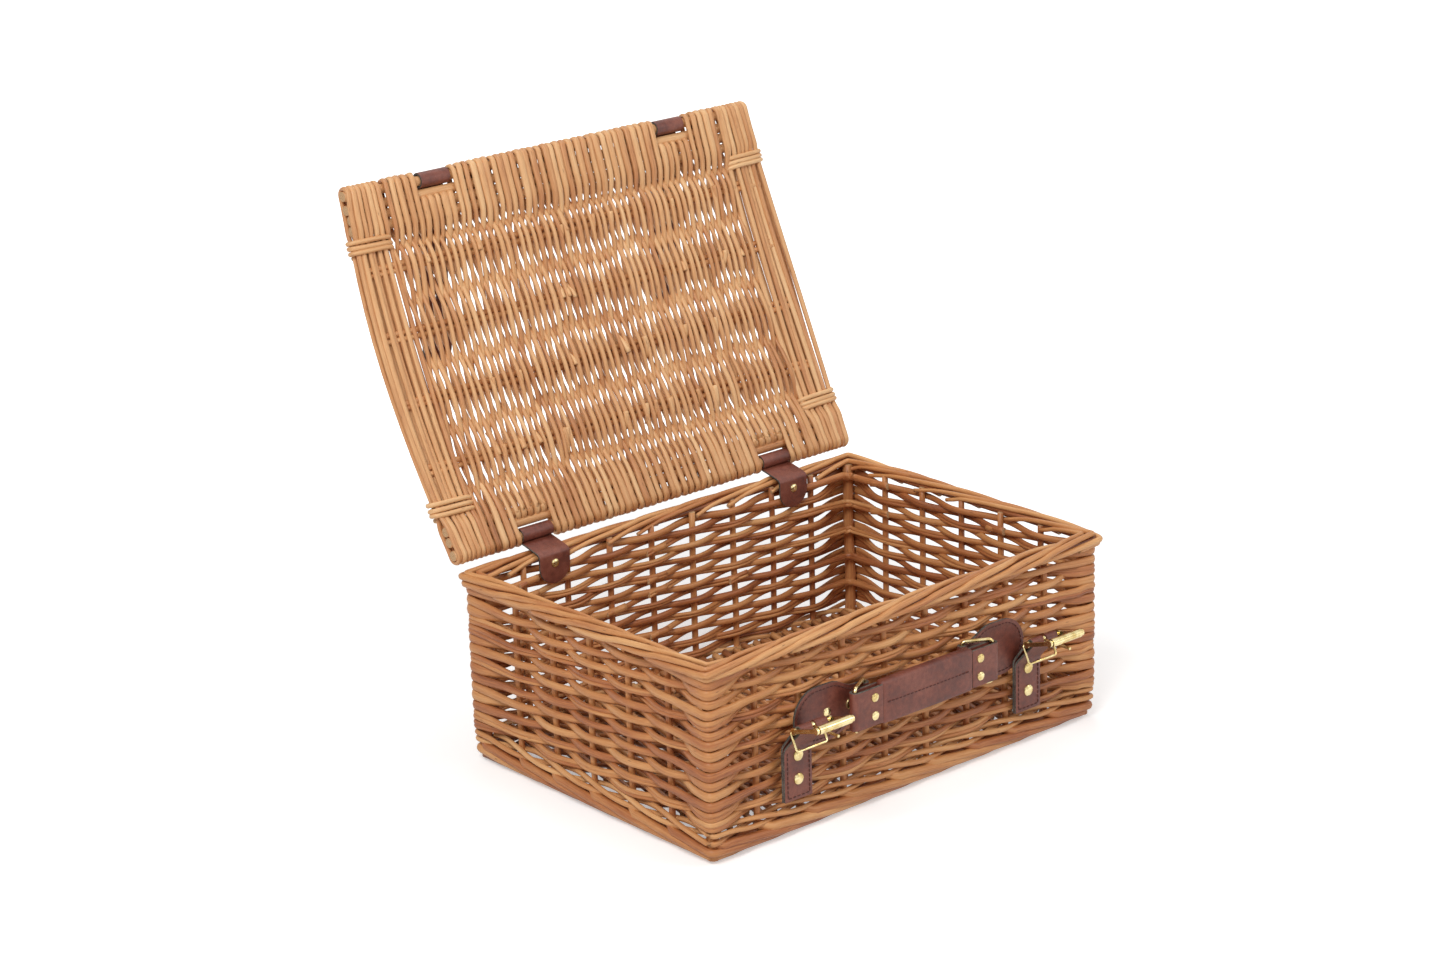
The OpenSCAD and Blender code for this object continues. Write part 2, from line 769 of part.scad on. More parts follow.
// One plate in X and Z with its bar at the origin and its rounded end towards +X
module plate_outline() {
    tail = plate_len - plate_h / 2;
    difference() {
        union() {
            translate([tail, 0]) circle(plate_h / 2, $fn = 64);
            polygon([
                [0, -plate_loop_h / 2], [plate_neck, -plate_loop_h / 2],
                [tail - plate_flare, -plate_h / 2], [tail, -plate_h / 2],
                [tail, plate_h / 2], [tail - plate_flare, plate_h / 2],
                [plate_neck, plate_loop_h / 2], [0, plate_loop_h / 2]
            ]);
        }
        translate([eyelet_from_bar, 0]) circle(d = eyelet_tube_d + 2 * running_gap);
        translate([plate_rivet_from_bar, 0]) circle(d = rivet_shank_d + 2 * running_gap);
    }
}

module handle_plates() {
    color("saddlebrown") place()
        for (s = [0, 1]) mirror([s, 0, 0]) {
            on_front(plate_bar_x + bar_wall, -front_face - seat_gap, handle_z)
                linear_extrude(leather_t)
                    intersection() {
                        translate([-bar_wall, 0]) plate_outline();
                        translate([-bar_wall / 2, -plate_h]) square([plate_len, 2 * plate_h]);
                    }
            translate([plate_bar_x, plate_bar_y, handle_z])
                linear_extrude(plate_loop_h, center = true)
                    difference() {
                        union() {
                            circle(bar_wall);
                            translate([0, bar_wall - leather_t])
                                square([bar_wall, leather_t]);
                        }
                        circle(bar_wall - leather_t);
                    }
        }
}

module plate_rivets() {
    color("gold") place()
        for (s = [-1, 1])
            on_front(s * (plate_bar_x + plate_rivet_from_bar), -plate_face, handle_z)
                rivet(small_rivet_d, leather_t);
}

module plate_eyelets() {
    color("gold") place()
        for (s = [-1, 1])
            on_front(s * (plate_bar_x + eyelet_from_bar), -plate_face, handle_z)
                rotate_extrude()
                    polygon([
                        [eyelet_bore / 2, -leather_t], [eyelet_tube_d / 2, -leather_t],
                        [eyelet_tube_d / 2, 0], [eyelet_d / 2, 0],
                        [eyelet_d / 2 - 0.3, 0.9], [eyelet_d / 2 - 1.3, 1.3],
                        [eyelet_bore / 2, 0.6]
                    ]);
}

// A ring from its plate bar at the origin, in the plane of Z and its tilted length
module handle_ring(s) {
    color("gold") place() mirror([s < 0 ? 1 : 0, 0, 0])
        translate([plate_bar_x, plate_bar_y, handle_z])
            rotate([0, 0, 90 - ring_tilt]) rotate([0, 90, 0])
                wire_frame(ring_half, ring_len, ring_wire_d, ring_bend);
}

module handle_ring_left() {
    handle_ring(-1);
}

module handle_ring_right() {
    handle_ring(1);
}

// The grip and its two end loops, each with a slot in which the ring's bar can travel
module handle_grip() {
    inner = handle_len / 2 - loop_len;
    slot_x = handle_len / 2 - leather_t - loop_slot_len / 2;
    color("sienna") place() translate([0, ring_bar_y, handle_z]) {
        rotate([0, 90, 0]) linear_extrude(2 * inner + 2, center = true)
            rounded_rect(grip_h, grip_t, grip_corner);
        for (s = [-1, 1])
            linear_extrude(loop_h, center = true)
                difference() {
                    translate([s * (handle_len / 2 - loop_len / 2), 0])
                        rounded_rect(loop_len, loop_t, loop_t / 2 - 0.2);
                    translate([s * slot_x, 0])
                        rounded_rect(loop_slot_len, loop_slot_t, loop_slot_t / 2 - 0.1);
                }
    }
}

module handle_rivets() {
    face = ring_bar_y - loop_t / 2;
    rivet_x = handle_len / 2 - loop_len + handle_rivet_inset;
    color("gold") place()
        for (x = [-rivet_x, rivet_x], z = [-0.5, 0.5])
            on_front(x, face, handle_z + z * handle_rivet_pitch) rivet(small_rivet_d, 0);
}

base_sticks();
base_weave();
foot_border();
corner_posts();
wall_stakes();
weave_front();
weave_back();
weave_left();
weave_right();
top_border();
hinge_straps();
hinge_rivets();
buckle_chapes();
chape_rivets();
handle_plates();
plate_rivets();
plate_eyelets();
lid_hinge_rod();
lid_back_rods();
lid_front_rods();
lid_cross_sticks();
lid_weave();
lid_side_rods();
lid_ties();
closing_strap_left();
closing_strap_right();
keeper_left();
keeper_right();
buckle_frame_left();
buckle_frame_right();
buckle_roller_left();
buckle_roller_right();
buckle_prong_left();
buckle_prong_right();
handle_ring_left();
handle_ring_right();
handle_grip();
handle_rivets();
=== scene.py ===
"""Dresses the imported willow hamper: woven rods, leather straps and brass fittings.

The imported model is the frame: every piece here takes its place from the frame's boxes and
joints, stands for the plain solid that it replaces, and rides on that solid's body.
"""

import json
import logging
import math
from dataclasses import dataclass, field, replace
from enum import Enum
from typing import Any, Iterable, Sequence

import bpy
import numpy as np
from mathutils import Matrix, Vector

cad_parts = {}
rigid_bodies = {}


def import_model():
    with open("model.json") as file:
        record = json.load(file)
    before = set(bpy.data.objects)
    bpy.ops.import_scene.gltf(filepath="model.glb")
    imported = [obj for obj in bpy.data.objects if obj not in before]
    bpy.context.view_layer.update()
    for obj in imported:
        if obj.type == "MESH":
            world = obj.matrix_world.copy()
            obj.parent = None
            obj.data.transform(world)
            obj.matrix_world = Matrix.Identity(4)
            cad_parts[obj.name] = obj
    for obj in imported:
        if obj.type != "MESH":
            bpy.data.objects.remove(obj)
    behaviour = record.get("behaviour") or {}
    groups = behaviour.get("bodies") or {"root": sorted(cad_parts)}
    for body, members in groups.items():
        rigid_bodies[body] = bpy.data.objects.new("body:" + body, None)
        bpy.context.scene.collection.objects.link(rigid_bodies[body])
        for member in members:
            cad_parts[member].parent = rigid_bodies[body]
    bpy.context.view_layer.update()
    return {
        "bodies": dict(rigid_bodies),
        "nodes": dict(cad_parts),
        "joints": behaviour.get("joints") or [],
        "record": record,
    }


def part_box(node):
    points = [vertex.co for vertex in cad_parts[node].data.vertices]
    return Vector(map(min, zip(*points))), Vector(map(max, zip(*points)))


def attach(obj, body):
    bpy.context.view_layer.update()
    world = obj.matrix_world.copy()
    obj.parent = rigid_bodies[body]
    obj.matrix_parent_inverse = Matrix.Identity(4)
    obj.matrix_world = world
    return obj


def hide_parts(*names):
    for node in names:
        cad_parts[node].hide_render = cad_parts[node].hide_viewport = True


log = logging.getLogger("hamper")

MM = 0.001
UP = np.array([0.0, 0.0, 1.0])
ACROSS = np.array([1.0, 0.0, 0.0])
FORWARD = np.array([0.0, -1.0, 0.0])
WHITE = (1.0, 1.0, 1.0, 1.0)
Colour = tuple[float, float, float]
Scale = tuple[float, float, float]


class Side(Enum):
    """The hamper's left and right, seen from the front."""

    LEFT = -1
    RIGHT = 1

    @property
    def label(self) -> str:
        """Returns the side's name as the pieces and the joints spell it."""
        return self.name.lower()


def srgb(red: int, green: int, blue: int) -> Colour:
    """Turns a colour into the linear values that shaders take.

    Args:
        red: Its red part, from 0 to 255.
        green: Its green part.
        blue: Its blue part.

    Returns:
        The same colour in linear light.
    """

    def linear(part: int) -> float:
        """Returns one channel in linear light."""
        c = part / 255
        return c / 12.92 if c <= 0.04045 else ((c + 0.055) / 1.055) ** 2.4

    return linear(red), linear(green), linear(blue)


# ---- Shaders ----


class Value:
    """A number in a shader that takes Python's operators."""

    def __init__(self, shader: "Shader", socket: bpy.types.NodeSocket) -> None:
        """Keeps the socket and the shader that its maths is added to."""
        self.shader = shader
        self.socket = socket

    def __add__(self, other: Any) -> "Value":
        """Returns self + other."""
        return self.shader.math("ADD", self, other)

    def __radd__(self, other: Any) -> "Value":
        """Returns other + self."""
        return self.shader.math("ADD", other, self)

    def __sub__(self, other: Any) -> "Value":
        """Returns self - other."""
        return self.shader.math("SUBTRACT", self, other)

    def __rsub__(self, other: Any) -> "Value":
        """Returns other - self."""
        return self.shader.math("SUBTRACT", other, self)

    def __mul__(self, other: Any) -> "Value":
        """Returns self * other."""
        return self.shader.math("MULTIPLY", self, other)

    def __rmul__(self, other: Any) -> "Value":
        """Returns other * self."""
        return self.shader.math("MULTIPLY", other, self)

    def clamped(self) -> "Value":
        """Returns the value held between 0 and 1."""
        return self.shader.math("ADD", self, 0.0, use_clamp=True)


class Shader:
    """A material or world under construction, with one method that adds every node."""

    def __init__(self, owner: bpy.types.Material | bpy.types.World) -> None:
        """Empties the nodes of their owner.

        Args:
            owner: The material or the world that the nodes belong to.
        """
        owner.use_nodes = True
        self.owner = owner
        self.tree = owner.node_tree
        self.tree.nodes.clear()

    def node(
        self,
        kind: str,
        settings: dict[str, Any] | None = None,
        values: dict[int | str, Any] | None = None,
    ) -> bpy.types.Node:
        """Adds a node.

        Args:
            kind: The node's type, without the leading ShaderNode.
            settings: Its own settings, such as operation, or the stops of a ramp.
            values: A value or a link for each of its sockets, by name or number.

        Returns:
            The new node.
        """
        made = self.tree.nodes.new("ShaderNode" + kind)
        for key, setting in (settings or {}).items():
            if key == "stops":
                ramp = made.color_ramp
                while len(ramp.elements) < len(setting):
                    ramp.elements.new(0.5)
                for element, (place, colour) in zip(ramp.elements, setting):
                    element.position = place
                    element.color = (*colour, 1.0)
            else:
                setattr(made, key, setting)
        for key, value in (values or {}).items():
            if isinstance(value, Value):
                value = value.socket
            if isinstance(value, bpy.types.NodeSocket):
                self.tree.links.new(value, made.inputs[key])
            else:
                made.inputs[key].default_value = value
        return made

    def math(self, operation: str, a: Any, b: Any, use_clamp: bool = False) -> Value:
        """Returns the result of a Math node on two values."""
        made = self.node("Math", {"operation": operation, "use_clamp": use_clamp}, {0: a, 1: b})
        return Value(self, made.outputs[0])

    def scaled(self, vector: bpy.types.NodeSocket, by: Sequence[float]) -> bpy.types.NodeSocket:
        """Returns a vector multiplied part by part."""
        made = self.node("VectorMath", {"operation": "MULTIPLY"}, {0: vector, 1: tuple(by)})
        return made.outputs[0]

    def noise(self, vector: Any, scale: float, detail: float = 2.0, rough: float = 0.5) -> Value:
        """Adds soft noise from 0 to 1.

        Args:
            vector: The places that it is read at.
            scale: How fine it is.
            detail: How many finer layers it has.
            rough: How strong those layers are.

        Returns:
            The noise.
        """
        made = self.node(
            "TexNoise",
            {"noise_dimensions": "3D"},
            {"Vector": vector, "Scale": scale, "Detail": detail, "Roughness": rough},
        )
        return Value(self, made.outputs[0])

    def cells(self, vector: Any, scale: float, feature: str = "F1") -> Value:
        """Adds a pattern of cells.

        Args:
            vector: The places that it is read at.
            scale: How small the cells are.
            feature: F1 for the distance to a centre, DISTANCE_TO_EDGE for that to an edge.

        Returns:
            The distance.
        """
        made = self.node("TexVoronoi", {"feature": feature}, {"Vector": vector, "Scale": scale})
        return Value(self, made.outputs["Distance"])

    def between(self, value: Any, low: float, high: float) -> Value:
        """Stretches a value smoothly from 0 to 1.

        Args:
            value: The value.
            low: Where it gives 0.
            high: Where it gives 1.

        Returns:
            The stretched value.
        """
        made = self.node(
            "MapRange",
            {"interpolation_type": "SMOOTHSTEP"},
            {"Value": value, "From Min": low, "From Max": high},
        )
        return Value(self, made.outputs[0])

    def ramp(self, value: Any, stops: Sequence[tuple[float, Colour]]) -> bpy.types.NodeSocket:
        """Returns the colour that a ramp gives a value."""
        return self.node("ValToRGB", {"stops": stops}, {0: value}).outputs[0]

    def mix(self, amount: Any, a: Any, b: Any, blend: str = "MIX") -> bpy.types.NodeSocket:
        """Mixes two colours.

        Args:
            amount: The share of the second one.
            a: The first colour or its link.
            b: The second colour or its link.
            blend: How they are mixed.

        Returns:
            The link of the mixed colour.
        """
        sides = [(*c, 1.0) if isinstance(c, tuple) else c for c in (a, b)]
        made = self.node(
            "Mix",
            {"data_type": "RGBA", "blend_type": blend},
            {0: amount, 6: sides[0], 7: sides[1]},
        )
        return made.outputs[2]

    def bump(self, height: Value, depth: float, strength: float = 1.0) -> bpy.types.NodeSocket:
        """Raises a surface.

        Args:
            height: Its height from 0 to 1.
            depth: What a height of 1 is, in metres.
            strength: The share of it that shows.

        Returns:
            The link of the new normal.
        """
        made = self.node(
            "Bump", None, {"Strength": strength, "Distance": depth, "Height": height}
        )
        return made.outputs[0]

    def finish(self, sockets: dict[str, Any]) -> bpy.types.Material:
        """Ends the material with a Principled shader.

        Args:
            sockets: A value or a link for each socket that is set, by name.

        Returns:
            The material.
        """
        for key, value in sockets.items():
            if isinstance(value, tuple) and len(value) == 3:
                sockets[key] = (*value, 1.0)
        shader = self.node("BsdfPrincipled", None, sockets)
        self.node("OutputMaterial", None, {0: shader.outputs[0]})
        return self.owner


@dataclass(frozen=True)
class Willow:
    """Peeled willow, from its darkest rods to its palest, streaked along each rod."""

    name: str
    dark: Colour
    red: Colour
    mid: Colour
    pale: Colour
    heart: Colour = srgb(226, 192, 146)
    rim: Colour = srgb(150, 98, 58)
    streaks: Scale = (1.5, 1.5, 0.03)
    fibres: Scale = (5.0, 5.0, 0.16)
    blotches: Scale = (0.22, 0.22, 0.035)
    scars: Scale = (0.3, 0.3, 0.045)
    rings: Scale = (2.5, 2.5, 0.0)
    red_from: float = 0.32
    mid_from: float = 0.62
    relief: float = 0.16 * MM

    def build(self) -> bpy.types.Material:
        """Builds the willow, which reads each rod's tone, grain and cut ends.

        Returns:
            The material.
        """
        s = Shader(bpy.data.materials.new(self.name))
        tone = Value(s, s.node("Attribute", {"attribute_name": "tone"}).outputs["Fac"])
        cut = Value(s, s.node("Attribute", {"attribute_name": "cut"}).outputs["Fac"])
        grain = s.node("Attribute", {"attribute_name": "grain"}).outputs["Vector"]
        streak = s.noise(s.scaled(grain, self.streaks), 1.0, 3.0, 0.6)
        fibre = s.noise(s.scaled(grain, self.fibres), 1.0, 2.0)
        blotch = s.noise(s.scaled(grain, self.blotches), 1.0, 2.0)
        shade = tone + (streak - 0.5) * 0.7 + (blotch - 0.5) * 0.5 + (fibre - 0.5) * 0.45
        colour = s.ramp(
            shade.clamped(),
            [(0.0, self.dark), (self.red_from, self.red), (self.mid_from, self.mid),
             (1.0, self.pale)],
        )
        scar = s.between(s.cells(s.scaled(grain, self.scars), 1.0), 0.12, 0.03)
        colour = s.mix(scar * 0.75, colour, self.dark)
        ring = s.between(s.noise(s.scaled(grain, self.rings), 1.0), 0.3, 0.7)
        colour = s.mix(cut, colour, s.mix(ring, self.heart, self.rim))
        height = fibre * 0.5 + streak * 0.9 - scar * 0.6
        return s.finish(
            {
                "Base Color": colour,
                "Roughness": 0.42 + blotch * 0.18 + cut * 0.3,
                "Normal": s.bump(height, self.relief, 0.8),
                "Specular IOR Level": 0.45,
                "Coat Weight": 0.1,
                "Coat Roughness": 0.3,
            }
        )


@dataclass(frozen=True)
class Leather:
    """Smooth bridle leather, with a fine grain, soft creases and a gloss that varies."""

    name: str
    dark: Colour
    mid: Colour
    worn: Colour
    gloss: float = 0.38
    clouds: float = 42.0
    hide: float = 260.0
    pores: float = 1500.0
    creases: float = 150.0
    relief: float = 0.12 * MM

    def build(self) -> bpy.types.Material:
        """Builds the leather on object coordinates.

        Returns:
            The material.
        """
        s = Shader(bpy.data.materials.new(self.name))
        place = s.node("TexCoord").outputs["Object"]
        cloud = s.noise(place, self.clouds, 3.0)
        hide = s.noise(place, self.hide, 4.0, 0.6)
        pores = s.between(s.cells(place, self.pores, "DISTANCE_TO_EDGE"), 0.0, 0.22)
        crease = s.noise(s.scaled(place, (1.0, 1.0, 3.0)), self.creases, 4.0, 0.65)
        shade = cloud * 0.55 + hide * 0.45
        colour = s.ramp(
            s.between(shade, 0.3, 0.72), [(0.0, self.dark), (0.5, self.mid), (1.0, self.worn)]
        )
        colour = s.mix((1 - pores) * 0.3, colour, self.dark)
        height = pores * 0.5 + hide * 0.5 + crease * 0.6
        return s.finish(
            {
                "Base Color": colour,
                "Roughness": self.gloss + hide * 0.2,
                "Normal": s.bump(height, self.relief, 0.6),
                "Specular IOR Level": 0.5,
                "Coat Weight": 0.08,
                "Coat Roughness": 0.28,
            }
        )


@dataclass(frozen=True)
class CutEdge:
    """The dyed and burnished cut edge of leather, with its fibres along it."""

    name: str
    dye: Colour
    fibre: Colour
    frays: float = 900.0
    patches: float = 120.0
    relief: float = 0.2 * MM

    def build(self) -> bpy.types.Material:
        """Builds the edge on object coordinates.

        Returns:
            The material.
        """
        s = Shader(bpy.data.materials.new(self.name))
        place = s.node("TexCoord").outputs["Object"]
        fray = s.noise(place, self.frays, 3.0, 0.7)
        patch = s.noise(place, self.patches, 2.0)
        worn = s.between(fray * 0.6 + patch * 0.4, 0.4, 0.65)
        return s.finish(
            {
                "Base Color": s.mix(worn, self.dye, self.fibre),
                "Roughness": 0.55 + fray * 0.3,
                "Normal": s.bump(fray, self.relief, 0.7),
                "Specular IOR Level": 0.35,
            }
        )


@dataclass(frozen=True)
class Brass:
    """Polished and lacquered brass with faint scratches and duller patches."""

    name: str
    bright: Colour
    dull: Colour
    patches: float = 160.0
    scratches: float = 900.0
    relief: float = 0.01 * MM

    def build(self) -> bpy.types.Material:
        """Builds the brass on object coordinates.

        Returns:
            The material.
        """
        s = Shader(bpy.data.materials.new(self.name))
        place = s.node("TexCoord").outputs["Object"]
        patch = s.noise(place, self.patches, 3.0)
        scratch = s.noise(s.scaled(place, (1.0, 1.0, 8.0)), self.scratches, 2.0, 0.7)
        return s.finish(
            {
                "Base Color": s.mix(s.between(patch, 0.35, 0.7), self.bright, self.dull),
                "Metallic": 1.0,
                "Roughness": 0.14 + patch * 0.1 + scratch * 0.05,
                "Normal": s.bump(patch, self.relief, 0.2),
            }
        )


@dataclass(frozen=True)
class Thread:
    """Waxed sewing thread, twisted."""

    name: str
    light: Colour
    shade: Colour
    twist: Scale = (6.0, 6.0, 3.0)
    relief: float = 0.08 * MM

    def build(self) -> bpy.types.Material:
        """Builds the thread, which reads each stitch's own grain.

        Returns:
            The material.
        """
        s = Shader(bpy.data.materials.new(self.name))
        grain = s.node("Attribute", {"attribute_name": "grain"}).outputs["Vector"]
        ply = s.noise(s.scaled(grain, self.twist), 1.0, 2.0)
        return s.finish(
            {
                "Base Color": s.mix(s.between(ply, 0.35, 0.65), self.shade, self.light),
                "Roughness": 0.6 + ply * 0.2,
                "Normal": s.bump(ply, self.relief, 0.8),
            }
        )


@dataclass
class Finishes:
    """Every finish of the hamper, built once."""

    lid: bpy.types.Material = field(init=False)
    wall: bpy.types.Material = field(init=False)
    base: bpy.types.Material = field(init=False)
    leather: bpy.types.Material = field(init=False)
    edge: bpy.types.Material = field(init=False)
    brass: bpy.types.Material = field(init=False)
    thread: bpy.types.Material = field(init=False)

    def __post_init__(self) -> None:
        """Builds the materials."""
        self.lid = Willow(
            "lid_willow", srgb(128, 74, 40), srgb(190, 128, 80), srgb(217, 164, 112),
            srgb(236, 194, 144),
        ).build()
        self.wall = Willow(
            "wall_willow", srgb(104, 54, 28), srgb(168, 100, 56), srgb(198, 136, 82),
            srgb(226, 174, 118),
        ).build()
        self.base = Willow(
            "base_willow", srgb(88, 46, 24), srgb(146, 88, 50), srgb(184, 126, 76),
            srgb(214, 162, 108),
        ).build()
        self.leather = Leather(
            "leather", srgb(84, 38, 28), srgb(118, 60, 45), srgb(140, 80, 62)
        ).build()
        self.edge = CutEdge("leather_edge", srgb(62, 60, 56), srgb(112, 108, 100)).build()
        self.brass = Brass("brass", srgb(233, 216, 164), srgb(198, 172, 112)).build()
        self.thread = Thread("thread", srgb(92, 44, 34), srgb(44, 20, 16)).build()


# ---- Rods ----


def eased(t: np.ndarray) -> np.ndarray:
    """Returns t from 0 to 1 with a soft start and end."""
    return 0.5 - 0.5 * np.cos(np.pi * np.clip(t, 0.0, 1.0))


def boxed(t: np.ndarray, power: float = 0.7) -> np.ndarray:
    """Returns a sine or cosine pushed out towards the corners of its square."""
    return np.sign(t) * np.abs(t) ** power


def levelled(values: np.ndarray, width: int = 7) -> np.ndarray:
    """Returns values each averaged with its neighbours, as many as before."""
    return np.convolve(np.pad(values, width // 2, "edge"), np.ones(width) / width, "valid")


def wander(rng: np.random.Generator, count: int, knots: int, spread: float) -> np.ndarray:
    """Returns count values that wander smoothly through a few random ones.

    Args:
        rng: The source of the random values.
        count: How many values are wanted.
        knots: How many random values they pass through.
        spread: The standard deviation of the random values.

    Returns:
        The values.
    """
    knots = max(knots, 2)
    goals = rng.normal(0.0, spread, knots)
    t = np.linspace(0.0, knots - 1.0, count)
    low = np.minimum(t.astype(int), knots - 2)
    f = eased(t - low)
    return goals[low] * (1 - f) + goals[low + 1] * f


class RodMesh:
    """Gathers swept rods into one mesh, with a tone, a grain and cut ends for each."""

    CAP_RISE = 0.12
    GRAIN_APART = 977.0

    def __init__(self, sides: int = 8) -> None:
        """Starts an empty mesh.

        Args:
            sides: How many sides each rod has.
        """
        self.sides = sides
        self.points: list[np.ndarray] = []
        self.grain: list[np.ndarray] = []
        self.tone: list[np.ndarray] = []
        self.faces: list[tuple[int, ...]] = []
        self.cut: list[float] = []
        self.count = 0
        self.rods = 0

    def add(
        self,
        path: np.ndarray,
        wide: np.ndarray | float,
        tone: np.ndarray | float,
        thick: np.ndarray | float | None = None,
        up: np.ndarray | None = None,
        closed: bool = False,
    ) -> None:
        """Adds one rod.

        Args:
            path: The points of its middle line, in metres.
            wide: Its half width along up, at each point or throughout.
            tone: Its tone from 0, dark, to 1, pale.
            thick: Its half width across up, where it isn't round.
            up: The direction that its width follows, or none for a round rod.
            closed: Whether its end joins its start.
        """
        path = np.asarray(path, float)
        n = len(path)
        wide = np.broadcast_to(np.asarray(wide, float), (n,))
        thick = wide if thick is None else np.broadcast_to(np.asarray(thick, float), (n,))
        ahead = np.gradient(path, axis=0)
        if closed:
            ahead = np.roll(path, -1, axis=0) - np.roll(path, 1, axis=0)
        ahead /= np.linalg.norm(ahead, axis=1)[:, None] + 1e-12
        first = self._across(ahead, up)
        second = np.cross(ahead, first)
        turn = np.arange(self.sides) * 2 * np.pi / self.sides
        cos, sin = np.cos(turn), np.sin(turn)
        ring = (
            path[:, None, :]
            + first[:, None, :] * (wide[:, None] * cos)[:, :, None]
            + second[:, None, :] * (thick[:, None] * sin)[:, :, None]
        )
        steps = np.linalg.norm(np.diff(path, axis=0), axis=1)
        along = np.concatenate([[0.0], np.cumsum(steps)]) / MM + self.GRAIN_APART * self.rods
        grain = np.empty((n, self.sides, 3))
        grain[:, :, 0] = wide[:, None] * cos / MM
        grain[:, :, 1] = thick[:, None] * sin / MM
        grain[:, :, 2] = along[:, None]
        start = self.count
        self.points.append(ring.reshape(-1, 3))
        self.grain.append(grain.reshape(-1, 3))
        tones = np.broadcast_to(np.asarray(tone, float), (n,))
        self.tone.append(np.repeat(tones, self.sides))
        self.count += n * self.sides
        for i in range(n if closed else n - 1):
            a, b = start + i * self.sides, start + (i + 1) % n * self.sides
            for j in range(self.sides):
                k = (j + 1) % self.sides
                self.faces.append((a + j, a + k, b + k, b + j))
                self.cut.append(0.0)
        if not closed:
            rise = ahead * (wide * self.CAP_RISE)[:, None]
            self._cap(start, path[0] - rise[0], along[0], tones[0], True)
            end = start + (n - 1) * self.sides
            self._cap(end, path[-1] + rise[-1], along[-1], tones[-1], False)
        self.rods += 1

    def _across(self, ahead: np.ndarray, up: np.ndarray | None) -> np.ndarray:
        """Returns the direction of a rod's width at each of its points.

        Args:
            ahead: The rod's direction at each point.
            up: The direction that its width follows, or none for a round rod.

        Returns:
            Directions square to the rod, which don't twist round it.
        """
        if up is not None:
            first = up[None, :] - (ahead @ up)[:, None] * ahead
            return first / np.linalg.norm(first, axis=1)[:, None]
        upright = abs(ahead[0][2]) >= 0.9
        side = np.cross(ahead[0], ACROSS if upright else UP)
        sides = []
        for t in ahead:
            side = side - side.dot(t) * t
            side = side / np.linalg.norm(side)
            sides.append(side)
        return np.array(sides)

    def _cap(
        self, start: int, middle: np.ndarray, along: float, tone: float, first: bool
    ) -> None:
        """Closes one end of a rod with a low fan.

        Args:
            start: The number of the end ring's first point.
            middle: The fan's middle.
            along: How far along the rod it is, in millimetres.
            tone: The rod's tone there.
            first: Whether it is the rod's first end.
        """
        self.points.append(middle[None, :])
        self.grain.append(np.array([[0.0, 0.0, along]]))
        self.tone.append(np.array([tone]))
        for j in range(self.sides):
            a, b = start + j, start + (j + 1) % self.sides
            self.faces.append((self.count, b, a) if first else (self.count, a, b))
            self.cut.append(1.0)
        self.count += 1

    def build(self, name: str, material: bpy.types.Material) -> bpy.types.Object:
        """Makes one smooth-shaded object of the gathered rods.

        Args:
            name: The object's name.
            material: Its finish.

        Returns:
            The object.
        """
        mesh = bpy.data.meshes.new(name)
        points = np.concatenate(self.points)
        mesh.from_pydata(points.tolist(), [], self.faces)
        for label, kind, domain, key, values in (
            ("tone", "FLOAT", "POINT", "value", np.concatenate(self.tone)),
            ("grain", "FLOAT_VECTOR", "POINT", "vector", np.concatenate(self.grain)),
            ("cut", "FLOAT", "FACE", "value", np.array(self.cut)),
        ):
            attribute = mesh.attributes.new(label, kind, domain)
            attribute.data.foreach_set(key, values.astype(np.float32).ravel())
        mesh.polygons.foreach_set("use_smooth", np.array(self.cut) < 0.5)
        mesh.materials.append(material)
        mesh.update()
        made = bpy.data.objects.new(name, mesh)
        bpy.context.scene.collection.objects.link(made)
        return made


def settle(
    piece: bpy.types.Object, body: str, replaced: Iterable[str] = ()
) -> bpy.types.Object:
    """Sets a piece on its body.

    Args:
        piece: The finished piece.
        body: The body that it moves with.
        replaced: The nodes that it stands for.

    Returns:
        The piece.
    """
    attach(piece, body)
    names = list(replaced)
    if names:
        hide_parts(*names)
    log.info("%s rides on %s: %d faces", piece.name, body, len(piece.data.polygons))
    return piece


# ---- Walls ----


